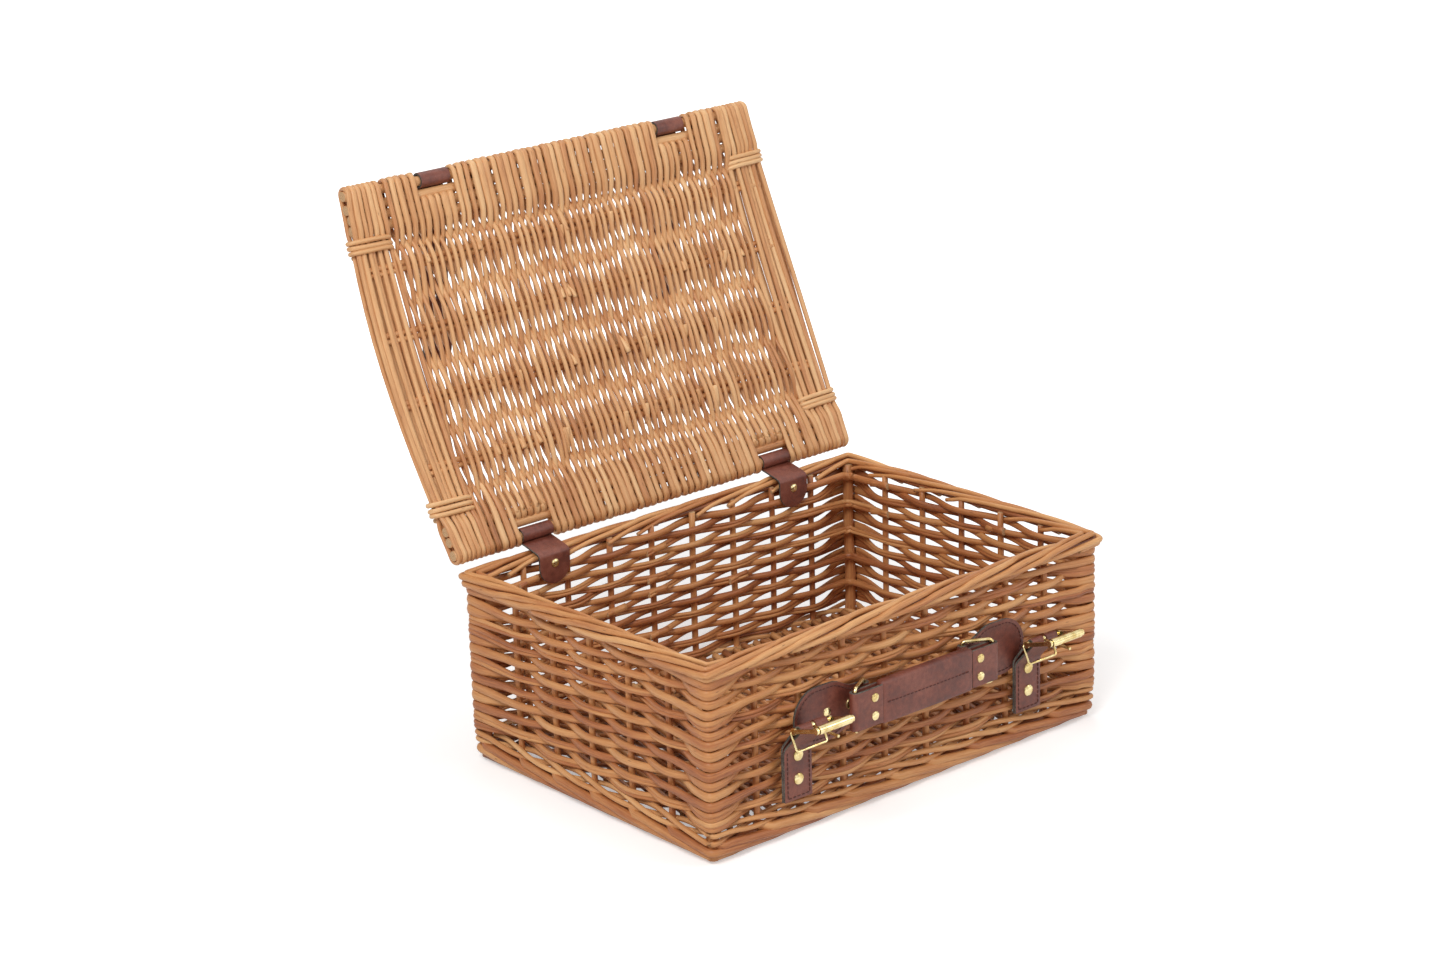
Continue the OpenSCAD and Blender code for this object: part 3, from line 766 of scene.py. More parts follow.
@dataclass(frozen=True)
class Ring:
    """The middle line of the four walls, as one closed way round the posts."""

    half_x: float
    half_y: float
    centre_y: float
    zone: float = 12 * MM
    bend: float = 4.6 * MM
    least_bend: float = 0.4 * MM

    def length(self) -> float:
        """Returns the way round at the posts' middles."""
        return 4 * (self.half_x + self.half_y)

    def corners(self) -> list[float]:
        """Returns how far round each post is, from the front left one."""
        x, y = 2 * self.half_x, 2 * self.half_y
        return [0.0, x, x + y, 2 * x + y]

    def place(self, s: float, out: float) -> tuple[float, float]:
        """Finds a point on the way round the walls.

        Args:
            s: How far round the ring it is.
            out: How far it is out from the walls' middle.

        Returns:
            Its x and y.
        """
        s %= self.length()
        starts = self.corners()
        side = max(i for i in range(4) if s >= starts[i] - 1e-12)
        t = s - starts[side]
        span = 2 * (self.half_x if side % 2 == 0 else self.half_y)
        if t < self.zone:
            return self._corner(side, 0.5 + 0.5 * t / self.zone, out)
        if t > span - self.zone:
            return self._corner((side + 1) % 4, 0.5 * (t - span + self.zone) / self.zone, out)
        post, ahead, normal = self._side(side)
        point = post + ahead * t + normal * out
        return float(point[0]), float(point[1])

    def _side(self, side: int) -> tuple[np.ndarray, np.ndarray, np.ndarray]:
        """Describes one side of the ring.

        Args:
            side: Its number, from the front one round.

        Returns:
            Its first post, its direction and its outward normal.
        """
        x, y = self.half_x, self.half_y
        post = [(-x, -y), (x, -y), (x, y), (-x, y)][side]
        ahead = [(1, 0), (0, 1), (-1, 0), (0, -1)][side]
        return (
            np.array([post[0], post[1] + self.centre_y]),
            np.array(ahead, float),
            np.array([ahead[1], -ahead[0]], float),
        )

    def _corner(self, side: int, w: float, out: float) -> tuple[float, float]:
        """Finds a point on the rounded turn into a side.

        Args:
            side: The side's number.
            w: The share of the turn that lies behind it.
            out: How far it is out from the walls' middle.

        Returns:
            Its x and y.
        """
        post, ahead, normal = self._side(side)
        before = self._side((side + 3) % 4)[2]
        radius = max(min(self.bend, out + self.zone), self.least_bend)
        straight = out + self.zone - radius
        turn = math.pi * radius / 2
        q = w * (2 * straight + turn)
        middle = post + (normal + before) * (out - radius)
        if q < straight:
            point = post + before * out + normal * (q - self.zone)
        elif q > straight + turn:
            point = post + normal * out + ahead * (self.zone - (2 * straight + turn - q))
        else:
            a = (q - straight) / radius
            point = middle + (before * math.cos(a) + normal * math.sin(a)) * radius
        return float(point[0]), float(point[1])

    def path(self, s: np.ndarray, out: np.ndarray, z: np.ndarray) -> np.ndarray:
        """Returns the points of a way round the ring."""
        flat = [self.place(a, b) for a, b in zip(s, out)]
        return np.column_stack([np.array(flat), z])


@dataclass
class Walls:
    """The four woven walls, their stakes and posts, and the borders above and below."""

    finishes: Finishes
    front_stakes: int = 8
    side_stakes: int = 5
    stake_d: float = 5 * MM
    post_d: float = 9 * MM
    rows: int = 22
    waled: int = 2
    stake_out: float = 4.4 * MM
    post_out: float = 6.9 * MM
    post_in: float = -5.6 * MM
    rod_wide: float = 2.98 * MM
    rod_thick: float = 2.1 * MM
    rod_stray: float = 0.28 * MM
    row_stray: float = 0.42 * MM
    above_rim: float = 1.6 * MM
    post_cycle: int = 4
    least_run: int = 8
    lap: float = 0.22
    seam: float = 1 / 16
    tuck: float = 2.2 * MM
    pair_chance: float = 0.5
    pair_size: float = 0.6
    pair_thick: float = 0.85
    pair_apart: float = 0.43
    tones: tuple[float, ...] = (0.32, 0.45, 0.56, 0.68)
    tone_shares: tuple[float, ...] = (0.16, 0.3, 0.34, 0.2)
    wale_rods: int = 3
    wale_half: float = 2.0 * MM
    wale_out: float = 1.5 * MM
    wale_swing: float = 4.6 * MM
    wale_rise: float = 3.4 * MM
    rim_wide: float = 16.4 * MM
    rim_inset: float = 2.8 * MM
    rim_reach: float = 4.1
    rim_start: float = -72.0
    rim_turn: float = 278.0
    foot_reach: float = 3.1
    foot_half: float = 3.45 * MM
    ring: Ring = field(init=False)
    low: float = field(init=False)
    high: float = field(init=False)
    stations: list[float] = field(init=False)
    posts: list[int] = field(init=False)

    def __post_init__(self) -> None:
        """Takes the walls' place from the frame."""
        low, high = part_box("corner_posts")
        self.ring = Ring(
            (high.x - low.x - self.post_d) / 2,
            (high.y - low.y - self.post_d) / 2,
            (high.y + low.y) / 2,
        )
        self.low = low.z
        self.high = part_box("top_border")[0].z + self.above_rim
        self.stations, self.posts = [], []
        spans = [2 * self.ring.half_x, 2 * self.ring.half_y] * 2
        counts = [self.front_stakes, self.side_stakes] * 2
        for start, span, count in zip(self.ring.corners(), spans, counts):
            self.posts.append(len(self.stations))
            self.stations += [start + span * i / (count + 1) for i in range(count + 1)]

    def build(self) -> None:
        """Builds every piece of the walls."""
        self._uprights()
        self._randing()
        self._wale()
        self._top_border()
        self._foot_border()

    def _set(self, rods: RodMesh, name: str, *nodes: str) -> None:
        """Makes one piece of the walls from its rods, for the nodes that it stands for."""
        settle(rods.build(name, self.finishes.wall), "basket", nodes)

    def _place(self, u: np.ndarray) -> np.ndarray:
        """Turns station numbers, parts included, into ways round the ring.

        Args:
            u: The station numbers.

        Returns:
            How far round the ring each one is.
        """
        count = len(self.stations)
        laps = np.floor(u / count)
        ends = np.array(self.stations + [self.ring.length()])
        return np.interp(u - laps * count, np.arange(count + 1), ends) + laps * ends[-1]

    def _samples(self, first: float, last: float, each: int = 8) -> np.ndarray:
        """Picks the places at which a rod is drawn, closer together at the posts.

        Args:
            first: The station number that it starts at.
            last: The one that it ends at.
            each: How many places there are from one station to the next.

        Returns:
            Station numbers, parts included.
        """
        coarse = np.arange(math.floor(first * each), math.ceil(last * each) + 1) / each
        count = len(self.stations)
        fine = [
            post + lap * count + d
            for post in self.posts
            for lap in (-1, 0, 1)
            for d in np.linspace(-0.26, 0.26, 14)
        ]
        u = np.unique(np.round(np.concatenate([coarse, fine]), 4))
        u = u[(u > first) & (u < last)]
        return np.concatenate([[first], u, [last]])

    def _uprights(self) -> None:
        """Builds the stakes and the corner posts."""
        rng = np.random.default_rng(11)
        rods = RodMesh(10)
        foot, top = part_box("foot_border")[0].z + 3 * MM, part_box("top_border")[1].z - 5 * MM
        count, bends, stray = 12, 4, 0.3 * MM
        z = np.linspace(foot, top, count)
        for j, s in enumerate(self.stations):
            x, y = self.ring.place(s, 0.0)
            if j in self.posts:
                side = self.posts.index(j)
                x = self.ring.half_x * (-1 if side in (0, 3) else 1)
                y = self.ring.centre_y + self.ring.half_y * (-1 if side in (0, 1) else 1)
            path = np.column_stack([
                x + wander(rng, count, bends, stray), y + wander(rng, count, bends, stray), z
            ])
            half = (self.post_d if j in self.posts else self.stake_d) / 2
            rods.add(path, half + wander(rng, count, bends, 0.12 * MM), rng.uniform(0.3, 0.6))
        self._set(rods, "stakes_and_posts", "corner_posts", "wall_stakes")

    def _row(self, k: int, rng: np.random.Generator) -> dict[str, np.ndarray]:
        """Lays out one row of the weave.

        Args:
            k: The row's number from the foot.
            rng: The source of its irregular course.

        Returns:
            At each station how far out from the wall it is, its height and its half width.
        """
        count = len(self.stations)
        step = (self.high - self.low) / self.rows
        sign = np.array([1.0 if (j + k) % 2 == 0 else -1.0 for j in range(count)])
        out = sign * self.stake_out
        z = self.low + (k + 0.5) * step + rng.normal(0.0, self.row_stray, count)
        wide = np.full(count, self.rod_wide) * (1 + 0.05 * sign)
        for c, j in enumerate(self.posts):
            outer = [
                r for r in range(self.waled, self.rows)
                if (r + c) % self.post_cycle != self.post_cycle - 1
            ]
            if k in outer:
                band = (self.high - self.low - self.waled * step) / len(outer)
                z[j] = self.low + self.waled * step + (outer.index(k) + 0.5) * band
                out[j] = self.post_out
                wide[j] = band / 2 * 1.04
            else:
                out[j] = self.post_in
        return {"out": out, "z": z, "wide": wide}

    def _randing(self) -> None:
        """Weaves the rows of single rods, each in front of one stake and behind the next."""
        rng = np.random.default_rng(23)
        rods = RodMesh(8)
        count = len(self.stations)
        for k in range(self.waled, self.rows):
            row = self._row(k, rng)
            inner = [
                j for j in range(count) if row["out"][j] < 0 and j not in self.posts
            ]
            first = int(rng.choice(inner))
            others = [
                j for j in inner
                if self.least_run <= (j - first) % count <= count - self.least_run
            ]
            second = int(rng.choice(others))
            breaks = sorted([first, second])
            for a, b in ((breaks[0], breaks[1]), (breaks[1], breaks[0] + count)):
                self._run(rods, rng, row, a, b)
        self._set(rods, "wall_randing", "weave_front", "weave_back", "weave_left", "weave_right")

    def _run(
        self, rods: RodMesh, rng: np.random.Generator, row: dict[str, np.ndarray],
        a: int, b: int,
    ) -> None:
        """Weaves one run of a row, as one rod or as two thin ones side by side.

        Args:
            rods: The mesh that the run is added to.
            rng: The source of its irregular course.
            row: Where the row lies at each station, from _row.
            a: The station that the run starts behind.
            b: The station that it ends behind.
        """
        count = len(self.stations)
        u = self._samples(a - self.lap, b + self.lap)
        n = len(u)
        base = np.floor(u).astype(int)
        f = eased(u - base)
        at = {
            key: v[base % count] * (1 - f) + v[(base + 1) % count] * f
            for key, v in row.items()
        }
        share = (u - u[0]) / (u[-1] - u[0])
        tuck = np.clip(1 - (u - u[0]) / self.lap, 0, 1)
        tuck = tuck + np.clip(1 - (u[-1] - u) / self.lap, 0, 1)
        side = np.where(share < 0.5, 1.0, -1.0)
        out = at["out"] - tuck * self.tuck
        z = at["z"] + wander(rng, n, (b - a) * 2, self.rod_stray) + side * tuck * MM
        butt = rng.uniform(1.0, 1.12)
        taper = butt + (rng.uniform(0.8, 0.92) - butt) * share
        taper = taper + wander(rng, n, b - a, 0.055)
        paired = rng.random() < self.pair_chance
        size = self.pair_size if paired else 1.0
        thick = self.pair_thick if paired else 1.0
        stray = 0.25 * MM
        for part in (-1, 1) if paired else (0,):
            tone = rng.choice(self.tones, p=self.tone_shares) + rng.normal(0, 0.05)
            out_here = out + part * wander(rng, n, b - a, stray)
            apart = self.pair_apart * at["wide"] * taper + wander(rng, n, 2 * (b - a), stray)
            rods.add(
                self.ring.path(self._place(u), out_here, z + part * apart),
                at["wide"] * taper * size,
                tone + wander(rng, n, b - a, 0.05),
                self.rod_thick * taper * thick,
                UP,
            )

    def _wale(self) -> None:
        """Weaves the wale above the foot: rods that cross in front of two stakes each."""
        rng = np.random.default_rng(31)
        rods = RodMesh(8)
        step = (self.high - self.low) / self.rows
        count = len(self.stations)
        middle = self.low + self.waled * step / 2
        for m in range(self.wale_rods):
            u = self._samples(0.0, count - self.seam, 10)
            turn = 2 * np.pi * (u - (m - self.wale_rods / 2)) / self.wale_rods
            near = np.zeros(len(u))
            for j in [*self.posts, self.posts[0] + count]:
                near = np.maximum(near, np.exp(-(((u - j) / self.lap) ** 2)))
            proud = near * 2.6 * MM * (np.cos(turn) > 0)
            out = self.wale_out + self.wale_swing * np.cos(turn) + proud
            z = middle - self.wale_rise * np.sin(turn) + wander(rng, len(u), count, 0.2 * MM)
            rods.add(
                self.ring.path(self._place(u), out, z),
                self.wale_half + wander(rng, len(u), count, 0.1 * MM),
                0.72 + wander(rng, len(u), 12, 0.12),
                closed=True,
            )
        self._set(rods, "wall_wale")

    def _top_border(self) -> None:
        """Rolls the rim: each rod climbs over the bundle from outside and ends within."""
        rng = np.random.default_rng(47)
        rods = RodMesh(9)
        low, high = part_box("top_border")
        outer = high.x - self.ring.half_x
        inner = outer - self.rim_wide
        middle = np.array([(outer + inner) / 2, (low.z + high.z) / 2 + 0.8 * MM])
        half = np.array([self.rim_wide / 2 - self.rim_inset, (high.z - low.z) / 2 - 1.5 * MM])
        ring = replace(self.ring, bend=2.6 * MM)
        for j in range(len(self.stations)):
            u = self._samples(j - 0.3, j + self.rim_reach + rng.uniform(-0.3, 0.3), 6)
            share = (u - u[0]) / (u[-1] - u[0])
            angle = np.radians(self.rim_start + rng.normal(0, 6) + self.rim_turn * share)
            swell = 1 + wander(rng, len(u), 6, 0.07)
            out = middle[0] + half[0] * boxed(np.cos(angle)) * swell
            z = middle[1] + half[1] * boxed(np.sin(angle)) * swell
            dip = np.clip((share - 0.93) / 0.07, 0, 1)
            out = out - dip * 2.0 * MM
            z = z - dip * 1.5 * MM
            butt, tip = rng.uniform(2.45, 2.9) * MM, rng.uniform(1.5, 1.9) * MM
            # The rim rods take paler tones (0.5 to 0.82) than the wall rods: painted light, for
            # the top of the rim where the light falls from above.
            rods.add(
                ring.path(self._place(u), out, z),
                butt + (tip - butt) * share,
                rng.uniform(0.5, 0.82) + wander(rng, len(u), 4, 0.05),
            )
        count = len(self.stations)
        u = self._samples(0.0, count - self.seam, 6)
        # The two core rods inside the rim take a very dark tone (0.15): painted shade, seen in
        # the gaps between the rolled rods.
        for out in (-1.9 * MM, 1.9 * MM):
            rods.add(
                ring.path(
                    self._place(u), np.full(len(u), middle[0] + out),
                    np.full(len(u), middle[1] - 0.6 * MM),
                ),
                2.4 * MM, 0.15, closed=True,
            )
        self._set(rods, "rim_border", "top_border")

    def _foot_border(self) -> None:
        """Lays the foot: each stout rod bends out under the weave and runs under the next."""
        rng = np.random.default_rng(59)
        rods = RodMesh(9)
        low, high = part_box("foot_border")
        outer = high.x - self.ring.half_x
        ring = replace(self.ring, bend=3.4 * MM)
        for j in range(len(self.stations)):
            start = j - 0.1 + rng.uniform(-0.08, 0.08)
            u = self._samples(start, start + self.foot_reach, 12)
            lag = u - start
            half = self.foot_half + (rng.normal(0, 0.15) - 0.35 * lag / self.foot_reach) * MM
            bend = eased(lag / 0.3)
            fall = np.clip((lag - 0.4) / 2.1, 0, 1)
            out = outer - half - (1 - bend) * 4.5 * MM
            out = out - 7.0 * MM * eased((lag - 1.35) / 1.6)
            z = high.z - half + 1.8 * MM + (1 - bend) * 3.4 * MM
            z = z - fall * (high.z - low.z - 2 * half + 1.8 * MM)
            z = np.maximum(z, low.z + half + 0.05 * MM)
            rods.add(
                ring.path(self._place(u), out, z),
                half,
                rng.uniform(0.35, 0.72) + wander(rng, len(u), 4, 0.05),
            )
        count = len(self.stations)
        u = self._samples(0.0, count - self.seam, 6)
        core = 3.2 * MM
        # The two core rods under the foot take a very dark tone (0.2): painted shade, seen in the
        # gaps between the foot rods.
        for out, z in (
            (outer - 9 * MM, high.z - core), (outer - 11.4 * MM, low.z + core + 0.2 * MM)
        ):
            rods.add(
                ring.path(self._place(u), np.full(len(u), out), np.full(len(u), z)),
                core, 0.2, closed=True,
            )
        self._set(rods, "foot_rods", "foot_border")


@dataclass
class Floor:
    """The woven floor inside the foot: rods from front to back over cross sticks."""

    finishes: Finishes
    sticks: int = 5
    stick_d: float = 5 * MM
    pitch: float = 5.3 * MM
    lift: float = 4.2 * MM
    loose_ends: int = 26
    end_margin: float = 20 * MM

    def build(self) -> None:
        """Builds the sticks and the rods woven over them."""
        rng = np.random.default_rng(71)
        low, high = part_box("base_weave")
        stick_low, stick_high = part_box("base_sticks")
        level = (stick_low.z + stick_high.z) / 2
        first = stick_low.y + self.stick_d / 2
        places = np.linspace(first, stick_high.y - self.stick_d / 2, self.sticks)
        rods = RodMesh(8)
        n = 14
        x = np.linspace(stick_low.x, stick_high.x, n)
        for y in places:
            rods.add(
                np.column_stack([x, y + wander(rng, n, 5, 0.5 * MM), np.full(n, level)]),
                self.stick_d / 2, rng.uniform(0.3, 0.6),
            )
        n = 64
        gap = places[1] - places[0]
        count = round((high.x - low.x) / self.pitch)
        for k in range(count):
            x = low.x + (k + 0.5) * (high.x - low.x) / count
            y = np.linspace(low.y, high.y - rng.uniform(0, 5) * MM, n)
            wave = np.cos(np.pi * (y - places[0]) / gap + np.pi * k)
            half = rng.uniform(1.9, 2.7) * MM
            z = level + wave * self.lift + wander(rng, n, 8, 0.25 * MM)
            rods.add(
                np.column_stack([x + wander(rng, n, 7, 0.5 * MM), y, z]),
                half * (1.08 - 0.25 * np.linspace(0, 1, n)[:: (-1) ** k]),
                rng.uniform(0.25, 0.75) + wander(rng, n, 4, 0.05),
            )
        for _ in range(self.loose_ends):
            y = rng.choice(places) + rng.uniform(-4, 4) * MM
            x = rng.uniform(low.x + self.end_margin, high.x - self.end_margin)
            length = rng.uniform(12, 30) * MM
            t = np.linspace(0, 1, 8)
            side = rng.choice([-1.0, 1.0])
            rods.add(
                np.column_stack([
                    x + t * rng.uniform(-3, 3) * MM,
                    y + side * t * length,
                    level + self.lift - 0.5 * MM + 3.2 * MM * np.sin(t * 1.9),
                ]),
                rng.uniform(1.5, 2.1) * MM, rng.uniform(0.4, 0.8),
            )
        settle(
            rods.build("floor_weave", self.finishes.base), "basket",
            ["base_weave", "base_sticks"],
        )


# ---- Lid ----


@dataclass
class Lid:
    """The open lid: edge rods, paired cross sticks, woven strands, side bundles and ties."""

    finishes: Finishes
    joints: dict[str, dict[str, Any]]
    rod_d: float = 8 * MM
    dome: float = 8 * MM
    first_stick: float = 66 * MM
    stick_pitch: float = 51 * MM
    stick_rows: int = 4
    stick_d: float = 5 * MM
    back_places: tuple[float, ...] = (0.0, 10.41 * MM, 18.51 * MM)
    front_places: tuple[float, ...] = (0.0, 10.41 * MM, 18.51 * MM, 26.61 * MM)
    strands: int = 106
    strand_wide: float = 1.82 * MM
    strand_thick: float = 1.75 * MM
    knots: int = 34
    knot_length: tuple[float, float] = (9 * MM, 20 * MM)
    side_strands: int = 7
    side_w: float = 30.6 * MM
    side_stray: float = 1.0 * MM
    side_level: float = 2.1 * MM
    bulge: float = 6 * MM
    strap_half: float = 15.5 * MM
    hinge_half: float = 14.5 * MM
    stick_apart: float = 0.48
    strand_stray: float = 0.55 * MM
    edge_swell: float = 1.5
    edge_reach: float = 8 * MM
    turn_points: int = 7
    tie_half: float = 1.9 * MM
    tie_turns: float = 3.2
    tie_pitch: float = 3.8 * MM
    tie_from_back: float = 17 * MM
    tie_from_front: float = 13 * MM

    def __post_init__(self) -> None:
        """Takes the lid's place from its hinge and its front straps."""
        self.origin = np.array(self.joints["lid_hinge"]["pos_m"], float)
        front = np.array(self.joints["strap_swing_left"]["pos_m"], float)
        self.strap_x = abs(front[0])
        run = front - self.origin
        run[0] = 0.0
        self.reach = float(np.linalg.norm(run))
        self.ahead = run / self.reach
        self.out = np.array([0.0, self.ahead[2], -self.ahead[1]])
        low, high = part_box("lid_hinge_rod")
        self.half = (high.x - low.x) / 2
        low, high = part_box("lid_weave")
        self.weave_half = (high.x - low.x) / 2
        self.hinge_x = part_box("hinge_straps")[1].x - self.hinge_half

    def rise(self, v: np.ndarray | float) -> np.ndarray | float:
        """Returns how far the lid's middle stands out at v from the hinge."""
        return self.dome * (1 - (2 * np.asarray(v) / self.reach - 1) ** 2)

    def rows(self) -> list[float]:
        """Returns how far from the hinge each row of sticks lies."""
        return [self.first_stick + i * self.stick_pitch for i in range(self.stick_rows)]

    def points(self, u: Any, v: Any, n: Any) -> np.ndarray:
        """Turns places on the lid into points in the frame.

        Args:
            u: How far across the lid they are.
            v: How far from the hinge.
            n: How far out of its top.

        Returns:
            The points, in metres.
        """
        u, v, n = np.broadcast_arrays(*(np.asarray(a, float) for a in (u, v, n)))
        lift = n + self.rise(np.clip(v, 0, self.reach))
        return (
            self.origin[None, :]
            + v[:, None] * self.ahead[None, :]
            + lift[:, None] * self.out[None, :]
            + u[:, None] * ACROSS[None, :]
        )

    def build(self) -> None:
        """Builds every piece of the lid."""
        self._edge_rods()
        self._cross_sticks()
        self._weave()
        self._sides()
        self._ties()

    def _set(self, rods: RodMesh, name: str, *nodes: str) -> None:
        """Makes one piece of the lid from its rods, for the nodes that it stands for."""
        settle(rods.build(name, self.finishes.lid), "lid", nodes)

    def _edge_rods(self) -> None:
        """Builds the stout rods along the hinge and front edges."""
        rng = np.random.default_rng(83)
        groups = {
            "hinge_rod": ([self.back_places[0]], ["lid_hinge_rod"]),
            "back_edge_rods": (list(self.back_places[1:]), ["lid_back_rods"]),
            "front_edge_rods": ([self.reach - p for p in self.front_places], ["lid_front_rods"]),
        }
        for name, (places, nodes) in groups.items():
            rods = RodMesh(12)
            n = 40
            for v in places:
                u = np.linspace(-self.half + rng.uniform(0, 2) * MM,
                                self.half - rng.uniform(0, 2) * MM, n)
                bow = wander(rng, n, 5, 0.15 * MM)
                taper = np.linspace(1.0, rng.uniform(0.93, 1.0), n)[:: rng.choice([-1, 1])]
                rods.add(
                    self.points(u, v + bow, 0.0), self.rod_d / 2 * taper,
                    rng.uniform(0.4, 0.7) + wander(rng, n, 6, 0.05),
                )
            self._set(rods, name, *nodes)

    def _cross_sticks(self) -> None:
        """Builds the four rows of paired sticks that the strands pass."""
        rng = np.random.default_rng(97)
        rods = RodMesh(8)
        n = 60
        u = np.linspace(-self.half + 3 * MM, self.half - 3 * MM, n)
        for row in self.rows():
            for side in (-1, 1):
                v = row + side * self.stick_d * self.stick_apart
                rods.add(
                    self.points(u, v + wander(rng, n, 9, 0.4 * MM), 0.0),
                    self.stick_d / 2 * np.linspace(1.05, 0.85, n)[:: side],
                    rng.uniform(0.25, 0.55) + wander(rng, n, 6, 0.05),
                )
        self._set(rods, "cross_sticks", "lid_cross_sticks")

    def _strand(
        self, rng: np.random.Generator, face: float, start: int, stop: int, woven: bool
    ) -> tuple[np.ndarray, np.ndarray, np.ndarray]:
        """Returns one strand's way along the lid.

        Args:
            rng: The source of its irregular course.
            face: 1 where it starts on the lid's top, -1 where it starts inside.
            start: The back rod that it turns round.
            stop: The front rod that it turns round.
            woven: Whether it changes face at each row of sticks.

        Returns:
            Its places along the lid, its heights, and how far round an end each point is.
        """
        over = self.rod_d / 2 + self.strand_thick
        back = self.back_places[start]
        front = self.reach - self.front_places[stop]
        last = face * ((-1) ** (self.stick_rows + 1) if woven else 1)
        flat = self.stick_d / 2 + self.strand_thick
        inner_back, inner_front = self.back_places[-1], self.reach - self.front_places[-1]
        keys = [(back, face * over), (inner_back, face * over)]
        if woven:
            side = face
            for v in self.rows():
                side = -side
                keys.append((v + rng.normal(0, 0.8) * MM, side * flat))
        else:
            settled, level = 14 * MM, face * self.side_level
            keys += [(inner_back + settled, level), (inner_front - settled, level)]
        keys += [(inner_front, last * over), (front, last * over)]
        v, n = [], []
        for (v0, n0), (v1, n1) in zip(keys, keys[1:]):
            t = np.arange(0, 1, 1 / (9 if abs(v1 - v0) > 30 * MM else 4))
            v += list(v0 + (v1 - v0) * t)
            n += list(n0 + (n1 - n0) * eased(t))
        a = np.radians(np.linspace(100, 12, self.turn_points))
        tail_v = list(back - over * np.sin(a))
        tail_n = list(face * over * np.cos(a))
        head_v = list(front + over * np.sin(a[::-1]))
        head_n = list(last * over * np.cos(a[::-1]))
        share = [0.0] * len(v)
        wrap = list(np.linspace(1, 0.1, self.turn_points))
        return (
            np.array(tail_v + v + head_v),
            np.array(tail_n + n + head_n),
            np.array([-w for w in wrap] + share + wrap[::-1]),
        )

    def _weave(self) -> None:
        """Weaves the strands, which turn round the end rods and change face at each row."""
        rng = np.random.default_rng(101)
        groups = [RodMesh(8), RodMesh(8)]
        pitch = 2 * self.weave_half / self.strands
        for k in range(self.strands):
            u0 = -self.weave_half + (k + 0.5) * pitch
            at_hinge = min(abs(u0 - self.hinge_x), abs(u0 + self.hinge_x)) < self.strap_half
            at_strap = min(abs(u0 - self.strap_x), abs(u0 + self.strap_x)) < self.strap_half
            face = 1.0 if k % 2 else -1.0
            v, n, wrap = self._strand(rng, face, 2 if at_hinge else 0, 2 if at_strap else 0, True)
            count = len(v)
            u = u0 + wander(rng, count, 9, self.strand_stray) + wrap * pitch * 0.5 * face
            size = rng.uniform(0.84, 1.22)
            row = np.zeros(count)
            for place in self.rows():
                row = np.maximum(row, np.exp(-((v - place) / (13 * MM)) ** 2))
            edge = v < self.back_places[-1] + self.edge_reach
            edge |= v > self.reach - self.front_places[-1] - self.edge_reach
            swell = np.where(edge, self.edge_swell, 0.94 + 0.16 * row)
            swell = levelled(swell)
            taper = np.linspace(1.06, 0.92, count)[:: rng.choice([-1, 1])]
            tone = float(np.clip(rng.normal(0.58, 0.09), 0.3, 0.85))
            groups[k % 2].add(
                self.points(u, v, n + wander(rng, count, 8, 0.15 * MM)),
                self.strand_wide * size * swell * taper,
                tone + wander(rng, count, 7, 0.07),
                self.strand_thick * (0.4 + 0.6 * size) * taper,
                ACROSS,
            )
        self._knots(rng, groups[0])
        self._set(groups[0], "lid_strands_inner", "lid_weave")
        self._set(groups[1], "lid_strands_outer")

    def _knots(self, rng: np.random.Generator, rods: RodMesh) -> None:
        """Adds the cut ends that stand out inside the lid where strands start and stop.

        Args:
            rng: The source of their places and sizes.
            rods: The mesh that they join.
        """
        level = self.stick_d / 2 + self.strand_thick
        t = np.linspace(0, 1, 9)
        for _ in range(self.knots):
            row = self.rows()[int(rng.integers(self.stick_rows))]
            u = rng.uniform(-0.95, 0.95) * self.weave_half
            way = rng.choice([-1.0, 1.0])
            length = rng.uniform(*self.knot_length)
            v = row + way * (rng.uniform(2, 5) * MM - t * length)
            n = -(level + 1.3 * MM) + t ** 2 * level * 1.5
            lean = rng.uniform(-2.0, 2.0) * MM
            rods.add(
                self.points(u + lean * t, v, n), rng.uniform(1.5, 2.2) * MM,
                rng.uniform(0.5, 0.85),
            )

    def _sides(self) -> None:
        """Builds the bundles of long strands along both sides."""
        rng = np.random.default_rng(113)
        rods = RodMesh(8)
        pitch = self.side_w / self.side_strands
        for side in (-1, 1):
            for i in range(self.side_strands):
                for face in (-1.0, 1.0):
                    v, n, _ = self._strand(rng, face, 0, 0, False)
                    count = len(v)
                    share = (i + 0.5) / self.side_strands
                    belly = np.sin(np.pi * np.clip(v / self.reach, 0, 1))
                    bow = belly * self.bulge
                    loose = belly ** 0.5
                    u = self.half - self.side_w + (i + 0.5) * pitch - 0.8 * MM
                    u = u + bow * share
                    u = u + wander(rng, count, 6, self.side_stray) * loose
                    n = n + wander(rng, count, 6, 0.9 * MM) * loose
                    size = rng.uniform(0.84, 1.12)
                    swell = np.where(loose > 0.6, 0.92, 1.1) * size
                    swell = levelled(swell)
                    rods.add(
                        self.points(side * u, v, n),
                        (pitch + bow / self.side_strands) / 2 * swell,
                        rng.uniform(0.42, 0.76) + wander(rng, count, 5, 0.06),
                        self.strand_thick * size,
                        ACROSS,
                    )
        self._set(rods, "side_bundles", "lid_side_rods")

